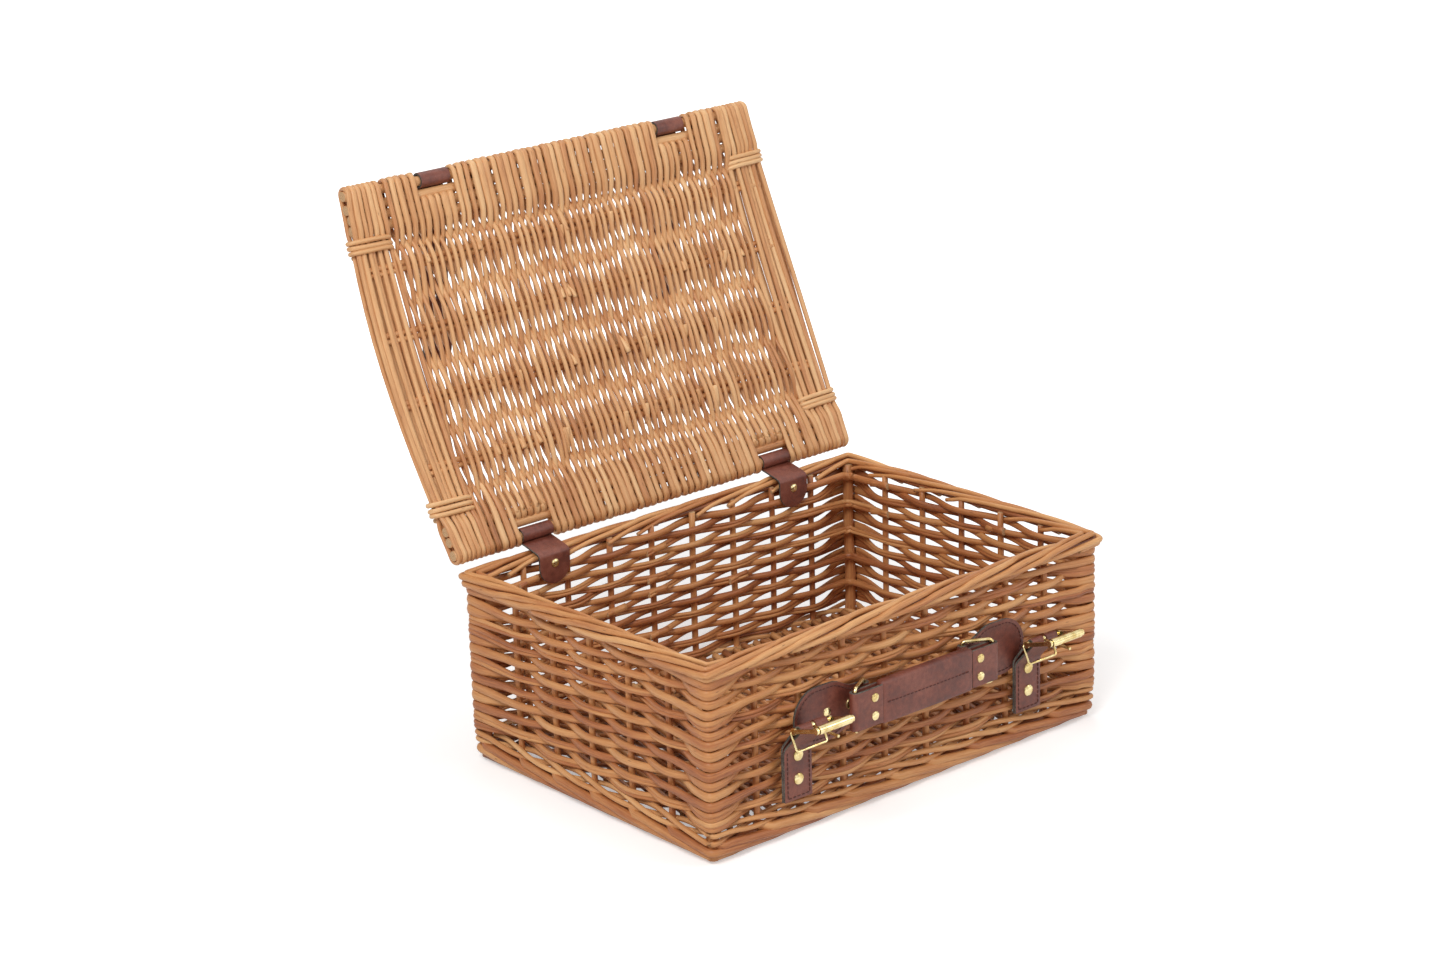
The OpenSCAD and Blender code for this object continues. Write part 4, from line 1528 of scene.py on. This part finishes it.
    def _ties(self) -> None:
        """Winds the four ties round the side bundles."""
        rng = np.random.default_rng(127)
        rods = RodMesh(8)
        back = self.back_places[-1] + self.tie_from_back
        front = self.reach - self.front_places[-1] - self.tie_from_front
        t = np.linspace(0, self.tie_turns, int(self.tie_turns * 20))
        a = 2 * np.pi * t + 0.8
        reach_u = self.side_w / 2 + 0.6 * MM + self.tie_half
        reach_n = 4.2 * MM + self.tie_half * 0.6
        for side in (-1, 1):
            for v0 in (back, front):
                bow = math.sin(math.pi * v0 / self.reach) * self.bulge * 0.8
                middle = self.half - self.side_w / 2 + bow - 0.5 * MM
                u = side * (middle + reach_u * boxed(np.cos(a), 0.55))
                v = v0 + (t - self.tie_turns / 2) * self.tie_pitch
                v = v + wander(rng, len(t), 7, 0.35 * MM)
                rods.add(
                    self.points(u, v, reach_n * boxed(np.sin(a), 0.75)), self.tie_half,
                    rng.uniform(0.6, 0.85) + wander(rng, len(t), 5, 0.06),
                )
        self._set(rods, "side_ties", "lid_ties")


# ---- Leather ----


class Axis(Enum):
    """The direction that a leather band's width runs along."""

    X = 0
    Z = 2


@dataclass
class Band:
    """A strip of leather that follows a line and is as wide as each point asks."""

    name: str
    axis: Axis
    centre: float
    line: np.ndarray
    half: np.ndarray
    thickness: float
    round_edge: float = 0.45 * MM

    def point(self, i: int, side: float) -> Vector:
        """Finds a corner of the strip.

        Args:
            i: The number of the point on its line.
            side: -1 or 1, for one edge or the other.

        Returns:
            The corner.
        """
        a, b = (float(c) for c in self.line[i])
        across = self.centre + side * float(self.half[i])
        return Vector((across, a, b)) if self.axis is Axis.X else Vector((a, b, across))

    def build(self, finishes: Finishes) -> bpy.types.Object:
        """Extrudes the strip point by point and gives it its thickness and rounded edge.

        Args:
            finishes: The finishes of its faces and of its cut edge.

        Returns:
            The strip.
        """
        bpy.ops.object.select_all(action="DESELECT")
        bpy.ops.mesh.primitive_plane_add(size=1.0, location=(0, 0, 0))
        made = bpy.context.object
        made.name = made.data.name = self.name
        corners = [self.point(0, -1), self.point(0, 1), self.point(1, -1), self.point(1, 1)]
        for vertex, corner in zip(made.data.vertices, corners):
            vertex.co = corner
        bpy.ops.object.mode_set(mode="EDIT")
        bpy.ops.mesh.select_mode(type="EDGE")
        for i in range(2, len(self.line)):
            self._select_end(made, i - 1)
            middle = (self.point(i - 1, 1) + self.point(i - 1, -1)) / 2
            ahead = (self.point(i, 1) + self.point(i, -1)) / 2 - middle
            bpy.ops.mesh.extrude_region_move(
                TRANSFORM_OT_translate={"value": ahead, "orient_type": "GLOBAL"}
            )
            ratio = self.half[i] / self.half[i - 1]
            if abs(ratio - 1) > 1e-6:
                scale = [1.0, 1.0, 1.0]
                scale[self.axis.value] = float(ratio)
                bpy.ops.transform.resize(value=scale, center_override=middle + ahead)
        bpy.ops.mesh.select_all(action="SELECT")
        bpy.ops.mesh.remove_doubles(threshold=1e-7)
        bpy.ops.object.mode_set(mode="OBJECT")
        made.data.materials.append(finishes.leather)
        made.data.materials.append(finishes.edge)
        add_modifier(made, "SOLIDIFY", thickness=self.thickness, offset=0.0,
                     use_even_offset=True, material_offset_rim=1)
        add_modifier(made, "BEVEL", width=self.round_edge, segments=3, limit_method="ANGLE",
                     angle_limit=math.radians(50))
        smooth(made)
        return made

    def _select_end(self, made: bpy.types.Object, i: int) -> None:
        """Selects the strip's last edge, by its place.

        Args:
            made: The strip so far.
            i: The number of its last point.
        """
        bpy.ops.mesh.select_all(action="DESELECT")
        ends = [self.point(i, -1), self.point(i, 1)]
        bpy.ops.object.mode_set(mode="OBJECT")
        for line in made.data.edges:
            a, b = (made.data.vertices[v].co for v in line.vertices)
            line.select = all(min((a - e).length, (b - e).length) < 1e-6 for e in ends)
        bpy.ops.object.mode_set(mode="EDIT")


def pick(made: bpy.types.Object) -> None:
    """Selects one object alone and makes it the active one.

    Args:
        made: The object.
    """
    bpy.ops.object.select_all(action="DESELECT")
    made.select_set(True)
    bpy.context.view_layer.objects.active = made


def add_modifier(made: bpy.types.Object, kind: str, **settings: Any) -> None:
    """Adds a modifier and applies it.

    Args:
        made: The object that it works on.
        kind: The modifier's type.
        **settings: Its own settings, by name.
    """
    modifier = made.modifiers.new(kind.title(), kind)
    for key, value in settings.items():
        setattr(modifier, key, value)
    pick(made)
    bpy.ops.object.modifier_apply(modifier=modifier.name)


def cut_away(piece: bpy.types.Object, cutter: bpy.types.Object) -> None:
    """Cuts a cutter's shape out of a piece.

    Args:
        piece: The piece that is cut.
        cutter: The shape that is taken away, which is deleted afterwards.
    """
    add_modifier(piece, "BOOLEAN", object=cutter, operation="DIFFERENCE", solver="EXACT")
    bpy.data.objects.remove(cutter)


def smooth(made: bpy.types.Object, degrees: float = 40.0) -> None:
    """Shades an object smooth up to an angle between its faces.

    Args:
        made: The object.
        degrees: The angle.
    """
    pick(made)
    bpy.ops.object.shade_smooth_by_angle(angle=math.radians(degrees))


def arc_points(
    centre: Sequence[float], radius: float, start: float, stop: float, steps: int
) -> np.ndarray:
    """Finds points on an arc.

    Args:
        centre: The arc's centre.
        radius: Its radius.
        start: Its first angle in degrees.
        stop: Its last angle.
        steps: How many points it has.

    Returns:
        The points.
    """
    a = np.radians(np.linspace(start, stop, steps))
    return np.column_stack([centre[0] + radius * np.cos(a), centre[1] + radius * np.sin(a)])


def divided(points: np.ndarray, step: float) -> np.ndarray:
    """Adds points to a line.

    Args:
        points: The line's corners.
        step: The longest step that may be left.

    Returns:
        The line with its new points.
    """
    out = [points[0]]
    for a, b in zip(points, points[1:]):
        n = max(1, math.ceil(np.linalg.norm(b - a) / step))
        out += [a + (b - a) * i / n for i in range(1, n + 1)]
    return np.array(out)


def softened(points: np.ndarray, times: int) -> np.ndarray:
    """Eases a line's bends.

    Args:
        points: The line.
        times: How often each point moves towards its neighbours.

    Returns:
        The line, with its ends kept.
    """
    points = points.copy()
    for _ in range(times):
        points[1:-1] = (points[:-2] + 2 * points[1:-1] + points[2:]) / 4
    return points


def lengths(points: np.ndarray) -> np.ndarray:
    """Returns how far along a line each of its points is."""
    return np.concatenate([[0.0], np.cumsum(np.linalg.norm(np.diff(points, axis=0), axis=1))])


@dataclass
class Stitching:
    """A row of thread stitches along a line on a leather face."""

    length: float = 2.6 * MM
    gap: float = 1.0 * MM
    half: float = 0.42 * MM
    mesh: RodMesh = field(default_factory=lambda: RodMesh(6))

    def sew(self, line: np.ndarray, normal: np.ndarray) -> None:
        """Sews along a line.

        Args:
            line: The points of the seam.
            normal: The direction that its stitches stand out.
        """
        along = lengths(line)
        count = int(along[-1] / (self.length + self.gap))
        if count < 1:
            return
        pitch = along[-1] / count
        for i in range(count):
            t = (i + 0.5) * pitch + np.linspace(-0.5, 0.5, 5) * self.length
            path = np.column_stack([np.interp(t, along, line[:, c]) for c in range(3)])
            lift = np.array([-0.45, 0.35, 0.6, 0.35, -0.45]) * self.half
            self.mesh.add(path + lift[:, None] * normal[None, :], self.half, 0.5)


@dataclass
class HingeStraps:
    """The two short straps that hold the lid's hinge rod to the back wall."""

    finishes: Finishes
    joints: dict[str, dict[str, Any]]
    width: float = 29 * MM
    thickness: float = 1.6 * MM
    eye: float = 4.9 * MM
    eye_turn: float = 300.0
    tip_half: float = 1.5 * MM

    def build(self) -> None:
        """Builds both straps from the wall, under and round the rod."""
        low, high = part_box("hinge_straps")
        rod = np.array(self.joints["lid_hinge"]["pos_m"][1:])
        wall = low.y + self.thickness / 2
        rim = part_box("top_border")[1].z + self.thickness / 2
        lip = np.array([wall, rim])
        to_lip = lip - rod
        lean = math.degrees(
            math.atan2(to_lip[1], to_lip[0]) + math.acos(self.eye / np.linalg.norm(to_lip))
        )
        turn = arc_points(rod, self.eye, lean, lean + self.eye_turn, 30)
        upper = divided(np.array([lip, turn[0]]), 3 * MM)
        lower = divided(np.array([[wall, low.z], lip]), 1.2 * MM)
        line = np.concatenate([lower, upper[1:-1], turn])
        at_lip = slice(len(lower) - 4, len(lower) + 6)
        line[at_lip] = softened(line[at_lip], 3)
        radius = self.width / 2
        half = np.full(len(line), radius)
        drop = line[:, 1] - low.z
        rounded = (drop < radius) & (np.arange(len(line)) < len(lower))
        square = radius ** 2 - (radius - drop[rounded]) ** 2
        half[rounded] = np.sqrt(np.maximum(square, self.tip_half ** 2))
        middle = high.x - radius
        for side in Side:
            name, x = f"hinge_strap_{side.label}", side.value * middle
            piece = Band(name, Axis.X, x, line, half, self.thickness).build(self.finishes)
            settle(piece, "basket", ["hinge_straps"] if side is Side.LEFT else [])


@dataclass
class ClosingStraps:
    """The two long straps that hang behind the open lid from its frontmost rod."""

    finishes: Finishes
    joints: dict[str, dict[str, Any]]
    width: float = 27 * MM
    thickness: float = 2 * MM
    holes: int = 4
    hole_d: float = 4 * MM
    first_hole: float = 24 * MM
    hole_pitch: float = 16 * MM
    eye_turn: float = 310.0

    def build(self) -> None:
        """Builds a strap on each side."""
        for side in Side:
            node = f"closing_strap_{side.label}"
            low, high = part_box(node)
            x, y, z = self.joints[f"strap_swing_{side.label}"]["pos_m"]
            radius = high.y - y - self.thickness / 2
            turn = arc_points((y, z), radius, 0, self.eye_turn, 32)
            tail = divided(np.array([[y + radius, low.z], [y + radius, z]]), 3 * MM)
            line = np.concatenate([tail, turn[1:]])
            half = np.full(len(line), self.width / 2)
            share = np.clip((line[:, 1] - low.z) / (self.width / 2), 0, 1)
            tip = np.arange(len(line)) < len(tail)
            half[tip] = self.width / 4 + self.width / 4 * np.sqrt(share[tip])
            name = f"strap_{side.label}"
            piece = Band(name, Axis.X, x, line, half, self.thickness).build(self.finishes)
            self._punch(piece, x, y + radius, low.z)
            settle(piece, name, [node])

    def _punch(self, piece: bpy.types.Object, x: float, y: float, z: float) -> None:
        """Cuts the row of holes near a strap's tip.

        Args:
            piece: The strap.
            x: The strap's middle.
            y: Its place from front to back.
            z: The height of its tip.
        """
        for i in range(self.holes):
            bpy.ops.object.select_all(action="DESELECT")
            bpy.ops.mesh.primitive_cylinder_add(
                vertices=20, radius=self.hole_d / 2, depth=4 * self.thickness,
                location=(x, y, z + self.first_hole + i * self.hole_pitch),
                rotation=(math.pi / 2, 0, 0),
            )
            cut_away(piece, bpy.context.object)
        smooth(piece)


@dataclass
class Chapes:
    """The folded straps that hold the buckles on the front wall."""

    finishes: Finishes
    joints: dict[str, dict[str, Any]]
    width: float = 26 * MM
    layer: float = 1.9 * MM
    bend_z: float = 72 * MM
    fold: float = 2.45 * MM
    slot: float = 3.4 * MM
    slot_reach: float = 8 * MM
    seam_in: float = 2.6 * MM
    seam_up: float = 3 * MM

    def build(self) -> None:
        """Builds a folded strap on each side, with its stitching."""
        low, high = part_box("buckle_chapes")
        back = high.y - self.layer / 2
        front = back - self.layer - 0.12 * MM
        face = front - self.layer / 2
        inset = self.width / 2 - self.seam_in
        seam_low, seam_high = low.z + self.seam_up, self.bend_z - self.seam_up
        stitches = Stitching()
        for side in Side:
            x, y, z = self.joints[f"buckle_tilt_{side.label}"]["pos_m"]
            away = np.array([y - (back + front) / 2, z - self.bend_z])
            lean = math.degrees(math.atan2(away[1], away[0]))
            turn = arc_points((y, z), self.fold, lean - 90, lean + 90, 12)
            turn = turn if turn[0][1] > turn[-1][1] else turn[::-1]
            rise = np.array([[back, low.z], [back, self.bend_z], turn[0]])
            fall = np.array(
                [turn[-1], [front, self.bend_z - 2 * MM], [front, low.z + 0.4 * MM]])
            inner, outer = divided(rise, 2.5 * MM), divided(fall, 2.5 * MM)
            line = softened(np.concatenate([inner, turn[1:-1], outer]), 2)
            half = np.full(len(line), self.width / 2)
            name = f"chape_{side.label}"
            piece = Band(name, Axis.X, x, line, half, self.layer).build(self.finishes)
            self._slot(piece, x, y, z)
            settle(piece, "basket", ["buckle_chapes"] if side is Side.LEFT else [])
            for seam_x in (x - inset, x + inset):
                stitches.sew(
                    np.array([[seam_x, face, seam_low], [seam_x, face, seam_high]]), FORWARD)
            stitches.sew(
                np.array([[x - inset, face, seam_low], [x + inset, face, seam_low]]), FORWARD)
        settle(stitches.mesh.build("chape_stitches", self.finishes.thread), "basket")

    def _slot(self, piece: bpy.types.Object, x: float, y: float, z: float) -> None:
        """Cuts the slot that the prong turns in.

        Args:
            piece: The folded strap.
            x: The pivot's x.
            y: The pivot's y.
            z: The pivot's z.
        """
        bpy.ops.object.select_all(action="DESELECT")
        reach = self.slot_reach
        bpy.ops.mesh.primitive_cube_add(size=1.0, location=(x, y - reach / 2 + 1.4 * MM, z))
        cutter = bpy.context.object
        cutter.scale = (self.slot, reach, 2.4 * reach)
        bpy.ops.object.transform_apply(location=False, rotation=False, scale=True)
        cut_away(piece, cutter)
        smooth(piece)


@dataclass
class HandlePlates:
    """The two plates with rounded outer ends that hold the handle's rings."""

    finishes: Finishes
    thickness: float = 2 * MM
    bar_round: float = 1.46 * MM
    length: float = 66 * MM
    height: float = 43 * MM
    neck: float = 27.4 * MM
    neck_len: float = 8 * MM
    flare: float = 14 * MM
    loop_turn: float = 330.0
    seam_in: float = 3 * MM

    def build(self) -> None:
        """Builds both plates and their stitching."""
        low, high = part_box("handle_plates")
        middle_z = (low.z + high.z) / 2
        y = high.y - self.thickness / 2
        face = y - self.thickness / 2
        bar_x = high.x - self.length
        loop = self.bar_round + self.thickness / 2
        radius = self.height / 2
        tail = self.length - radius
        a = np.radians(np.linspace(88, 0, 16))
        round_x, round_h = tail + radius * np.sin(a), radius * np.cos(a)
        mid_x = np.linspace(tail - self.flare * 0.4, self.neck_len, 9)
        straight = tail - self.flare
        share = (straight - mid_x) / (straight - self.neck_len)
        mid_h = radius - (radius - self.neck / 2) * eased(share)
        a = np.radians(np.linspace(90, self.loop_turn, 20))
        xs = np.concatenate([round_x, mid_x, [self.neck_len / 2], loop * np.cos(a)])
        ys = np.concatenate([np.zeros(len(xs) - len(a)), loop * np.sin(a) - loop])
        half = np.concatenate([round_h, mid_h, np.full(1 + len(a), self.neck / 2)])
        shrink = (radius - self.seam_in) / radius
        seam_x = np.concatenate([round_x, mid_x])
        seam_x = np.where(seam_x > tail, tail + (seam_x - tail) * shrink, seam_x)
        seam_h = np.concatenate([round_h * shrink, mid_h - self.seam_in])
        stitches = Stitching()
        for side in Side:
            line = np.column_stack([side.value * (bar_x + xs), y + ys])
            name = f"handle_plate_{side.label}"
            piece = Band(name, Axis.Z, middle_z, line, half, self.thickness).build(self.finishes)
            settle(piece, "basket", ["handle_plates"] if side is Side.LEFT else [])
            top, bottom = (
                np.column_stack([side.value * (bar_x + seam_x), np.full(len(seam_x), face),
                                 middle_z + way * seam_h])
                for way in (1, -1)
            )
            stitches.sew(np.concatenate([top[::-1], bottom]), FORWARD)
        settle(stitches.mesh.build("plate_stitches", self.finishes.thread), "basket")


@dataclass
class Handle:
    """The carrying handle: a stuffed grip with a sewn seam, and a riveted loop at each end."""

    finishes: Finishes
    loop_len: float = 28 * MM
    loop_h: float = 29 * MM
    layer: float = 2 * MM
    grip_t: float = 8.6 * MM
    grip_round: float = 3.2 * MM
    stuffing: float = 0.16
    groove_half: float = 1.1 * MM
    groove_depth: float = 0.7 * MM
    seam_end: float = 5 * MM

    def build(self) -> None:
        """Builds the grip, the end loops and the stitching."""
        low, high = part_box("handle_grip")
        middle = Vector(((low.x + high.x) / 2, (low.y + high.y) / 2, (low.z + high.z) / 2))
        half_len = (high.x - low.x) / 2
        depth = (high.y - low.y) / 2 - self.layer / 2
        inner = half_len - self.loop_len
        outer = half_len - depth - self.layer / 2
        turn = arc_points((outer, 0.0), depth, -90, 90, 14)
        front = divided(np.array([[inner, -depth], turn[0]]), 3 * MM)
        rear = divided(np.array([turn[-1], [inner, depth]]), 3 * MM)
        loop = np.concatenate([front, turn[1:-1], rear])
        half = np.full(len(loop), self.loop_h / 2)
        for side in Side:
            line = np.column_stack([side.value * loop[:, 0], middle.y + loop[:, 1]])
            name = f"handle_loop_{side.label}"
            piece = Band(name, Axis.Z, middle.z, line, half, self.layer).build(self.finishes)
            settle(piece, "handle")
        self._grip(middle, inner + 1 * MM, (high.z - low.z) / 2)

    def _grip(self, middle: Vector, half_len: float, half_h: float) -> None:
        """Builds the stuffed grip with a seam along its middle.

        Args:
            middle: Its middle.
            half_len: Half its length.
            half_h: Half its height.
        """
        bpy.ops.object.select_all(action="DESELECT")
        bpy.ops.mesh.primitive_cube_add(size=2.0, location=(0, 0, 0))
        made = bpy.context.object
        made.name = made.data.name = "grip"
        made.scale = (half_len, self.grip_t / 2, half_h)
        bpy.ops.object.transform_apply(location=False, rotation=False, scale=True)
        bpy.ops.object.mode_set(mode="EDIT")
        bpy.ops.mesh.select_all(action="SELECT")
        bpy.ops.mesh.bevel(offset=self.grip_round, segments=4, affect="EDGES")
        bpy.ops.mesh.select_all(action="SELECT")
        bpy.ops.mesh.subdivide(number_cuts=5)
        bpy.ops.object.mode_set(mode="OBJECT")
        for vertex in made.data.vertices:
            c = vertex.co
            end = 1 - (abs(c.x) / half_len) ** 6
            c.y *= 1 + self.stuffing * end * (1 - (c.z / half_h) ** 2)
            groove = math.exp(-(c.z / self.groove_half) ** 2) * min(1.0, end * 3)
            on_face = abs(c.y) > self.grip_t * 0.3
            c.y -= math.copysign(self.groove_depth * groove, c.y) * on_face
            c.z *= 1 + 0.02 * end
        made.data.transform(Matrix.Translation(middle))
        made.data.materials.append(self.finishes.leather)
        smooth(made, 60)
        settle(made, "handle", ["handle_grip"])
        stitches = Stitching()
        face = middle.y - self.grip_t / 2 * (1 + self.stuffing) + 0.75 * MM
        reach = half_len - self.seam_end
        stitches.sew(
            np.array([[-reach, face, middle.z], [reach, face, middle.z]]),
            FORWARD,
        )
        settle(stitches.mesh.build("grip_stitches", self.finishes.thread), "handle")


# ---- Brass ----


@dataclass
class Fittings:
    """The brass fittings, which keep the frame's solids and take the brass finish."""

    finishes: Finishes
    nodes: dict[str, bpy.types.Object]

    def build(self) -> None:
        """Dresses every brass node."""
        names = ["hinge_rivets", "chape_rivets", "plate_rivets", "plate_eyelets",
                 "handle_rivets"]
        for part in ("keeper", "buckle_frame", "buckle_roller", "buckle_prong", "handle_ring"):
            names += [f"{part}_left", f"{part}_right"]
        for name in names:
            node = self.nodes[name]
            node.data.materials.clear()
            node.data.materials.append(self.finishes.brass)
            log.info("%s takes the brass finish", name)


# ---- Stage ----


@dataclass(frozen=True)
class Lamp:
    """A round soft lamp that points at the hamper."""

    name: str
    place: tuple[float, float, float]
    power: float
    size: float = 1.2

    def build(self, aim: Vector) -> None:
        """Adds the lamp.

        Args:
            aim: The point that it points at.
        """
        data = bpy.data.lights.new(self.name, "AREA")
        data.shape = "DISK"
        data.size = self.size
        data.energy = self.power
        lamp = bpy.data.objects.new(self.name, data)
        lamp.location = self.place
        way = aim - Vector(self.place)
        lamp.rotation_euler = way.to_track_quat("-Z", "Y").to_euler()
        bpy.context.scene.collection.objects.link(lamp)


@dataclass(frozen=True)
class Studio:
    """A pale floor, soft light and the camera."""

    focal_mm: float = 85.21
    azimuth: float = -40.633
    elevation: float = 18.65
    roll: float = -1.7173
    distance: float = 2.61415
    sensor_mm: float = 36.0
    aim: tuple[float, float, float] = (17.34 * MM, 87.10 * MM, 180.76 * MM)
    surround: tuple[float, ...] = (1.0, 0.985, 0.965, 1.0)
    surround_strength: float = 0.3
    lamp_aim: tuple[float, float, float] = (0.0, -0.02, 0.15)
    lamps: tuple[Lamp, ...] = (
        Lamp("key_lamp", (-1.8, -1.1, 2.1), 46.0),
        Lamp("side_lamp", (1.2, -2.0, 1.5), 13.0),
        Lamp("top_lamp", (0.3, 0.5, 2.4), 13.0),
    )
    floor_size: float = 60.0
    floor_grey: float = 0.86
    floor_glow: float = 0.4

    def build(self, centre_y: float) -> None:
        """Builds the camera, the lights and the floor.

        Args:
            centre_y: The basket's middle, from front to back.
        """
        self._camera(centre_y)
        self._lights()
        self._floor()
        bpy.context.scene.view_settings.view_transform = "Standard"

    def _camera(self, centre_y: float) -> None:
        """Adds the camera on its sight line, rolled a little.

        Args:
            centre_y: The basket's middle, from front to back.
        """
        a, e = math.radians(self.azimuth), math.radians(self.elevation)
        back = Vector((math.sin(a) * math.cos(e), -math.cos(a) * math.cos(e), math.sin(e)))
        target = Vector(self.aim) + Vector((0, centre_y, 0))
        right = Vector((0, 0, 1)).cross(back).normalized()
        up = back.cross(right)
        r = math.radians(self.roll)
        right, up = (right * math.cos(r) + up * math.sin(r),
                     up * math.cos(r) - right * math.sin(r))
        data = bpy.data.cameras.new("camera")
        data.lens = self.focal_mm
        data.sensor_width = self.sensor_mm
        data.clip_end = 100.0
        camera = bpy.data.objects.new("camera", data)
        frame = Matrix((right, up, back)).transposed().to_4x4()
        frame.translation = target + back * self.distance
        camera.matrix_world = frame
        bpy.context.scene.collection.objects.link(camera)
        bpy.context.scene.camera = camera

    def _lights(self) -> None:
        """Adds a white surround and the large soft lamps."""
        world = bpy.data.worlds.new("surround")
        bpy.context.scene.world = world
        shader = Shader(world)
        path = shader.node("LightPath").outputs
        mirrored = shader.math("MAXIMUM", path["Is Glossy Ray"], path["Is Transmission Ray"])
        seen = shader.math("MAXIMUM", path["Is Camera Ray"], mirrored)
        light = shader.node(
            "Background", None, {"Color": self.surround, "Strength": self.surround_strength})
        plain = shader.node("Background", None, {"Color": WHITE})
        both = shader.node(
            "MixShader", None, {0: seen, 1: light.outputs[0], 2: plain.outputs[0]})
        shader.node("OutputWorld", None, {0: both.outputs[0]})
        for lamp in self.lamps:
            lamp.build(Vector(self.lamp_aim))

    def _floor(self) -> None:
        """Adds the pale floor, which keeps the shadow."""
        bpy.ops.object.select_all(action="DESELECT")
        bpy.ops.mesh.primitive_plane_add(size=self.floor_size, location=(0, 0, -0.2 * MM))
        floor = bpy.context.object
        floor.name = floor.data.name = "studio_floor"
        shader = Shader(bpy.data.materials.new("studio_floor"))
        path = shader.node("LightPath").outputs
        seen = shader.math("MAXIMUM", path["Is Camera Ray"], path["Is Glossy Ray"])
        grey = (self.floor_grey, self.floor_grey, self.floor_grey, 1.0)
        paint = shader.node("BsdfDiffuse", None, {"Color": grey})
        place = shader.node("TexCoord").outputs["Object"]
        reach = shader.node("VectorMath", {"operation": "LENGTH"}, {0: place}).outputs["Value"]
        white = self.floor_glow + shader.between(reach, 0.35, 0.9) * (1 - self.floor_glow)
        glow = shader.node("Emission", None, {"Color": WHITE, "Strength": seen * white})
        both = shader.node("AddShader", None, {0: paint.outputs[0], 1: glow.outputs[0]})
        shader.node("OutputMaterial", None, {0: both.outputs[0]})
        floor.data.materials.append(shader.owner)


def main() -> None:
    """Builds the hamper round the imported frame."""
    logging.basicConfig(level=logging.INFO, format="%(name)s: %(message)s")
    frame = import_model()
    joints = {joint["name"]: joint for joint in frame["joints"]}
    low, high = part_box("top_border")
    Studio().build((low.y + high.y) / 2)
    finishes = Finishes()
    Walls(finishes).build()
    Floor(finishes).build()
    Lid(finishes, joints).build()
    HingeStraps(finishes, joints).build()
    ClosingStraps(finishes, joints).build()
    Chapes(finishes, joints).build()
    HandlePlates(finishes).build()
    Handle(finishes).build()
    Fittings(finishes, frame["nodes"]).build()


if __name__ == "__main__":
    main()
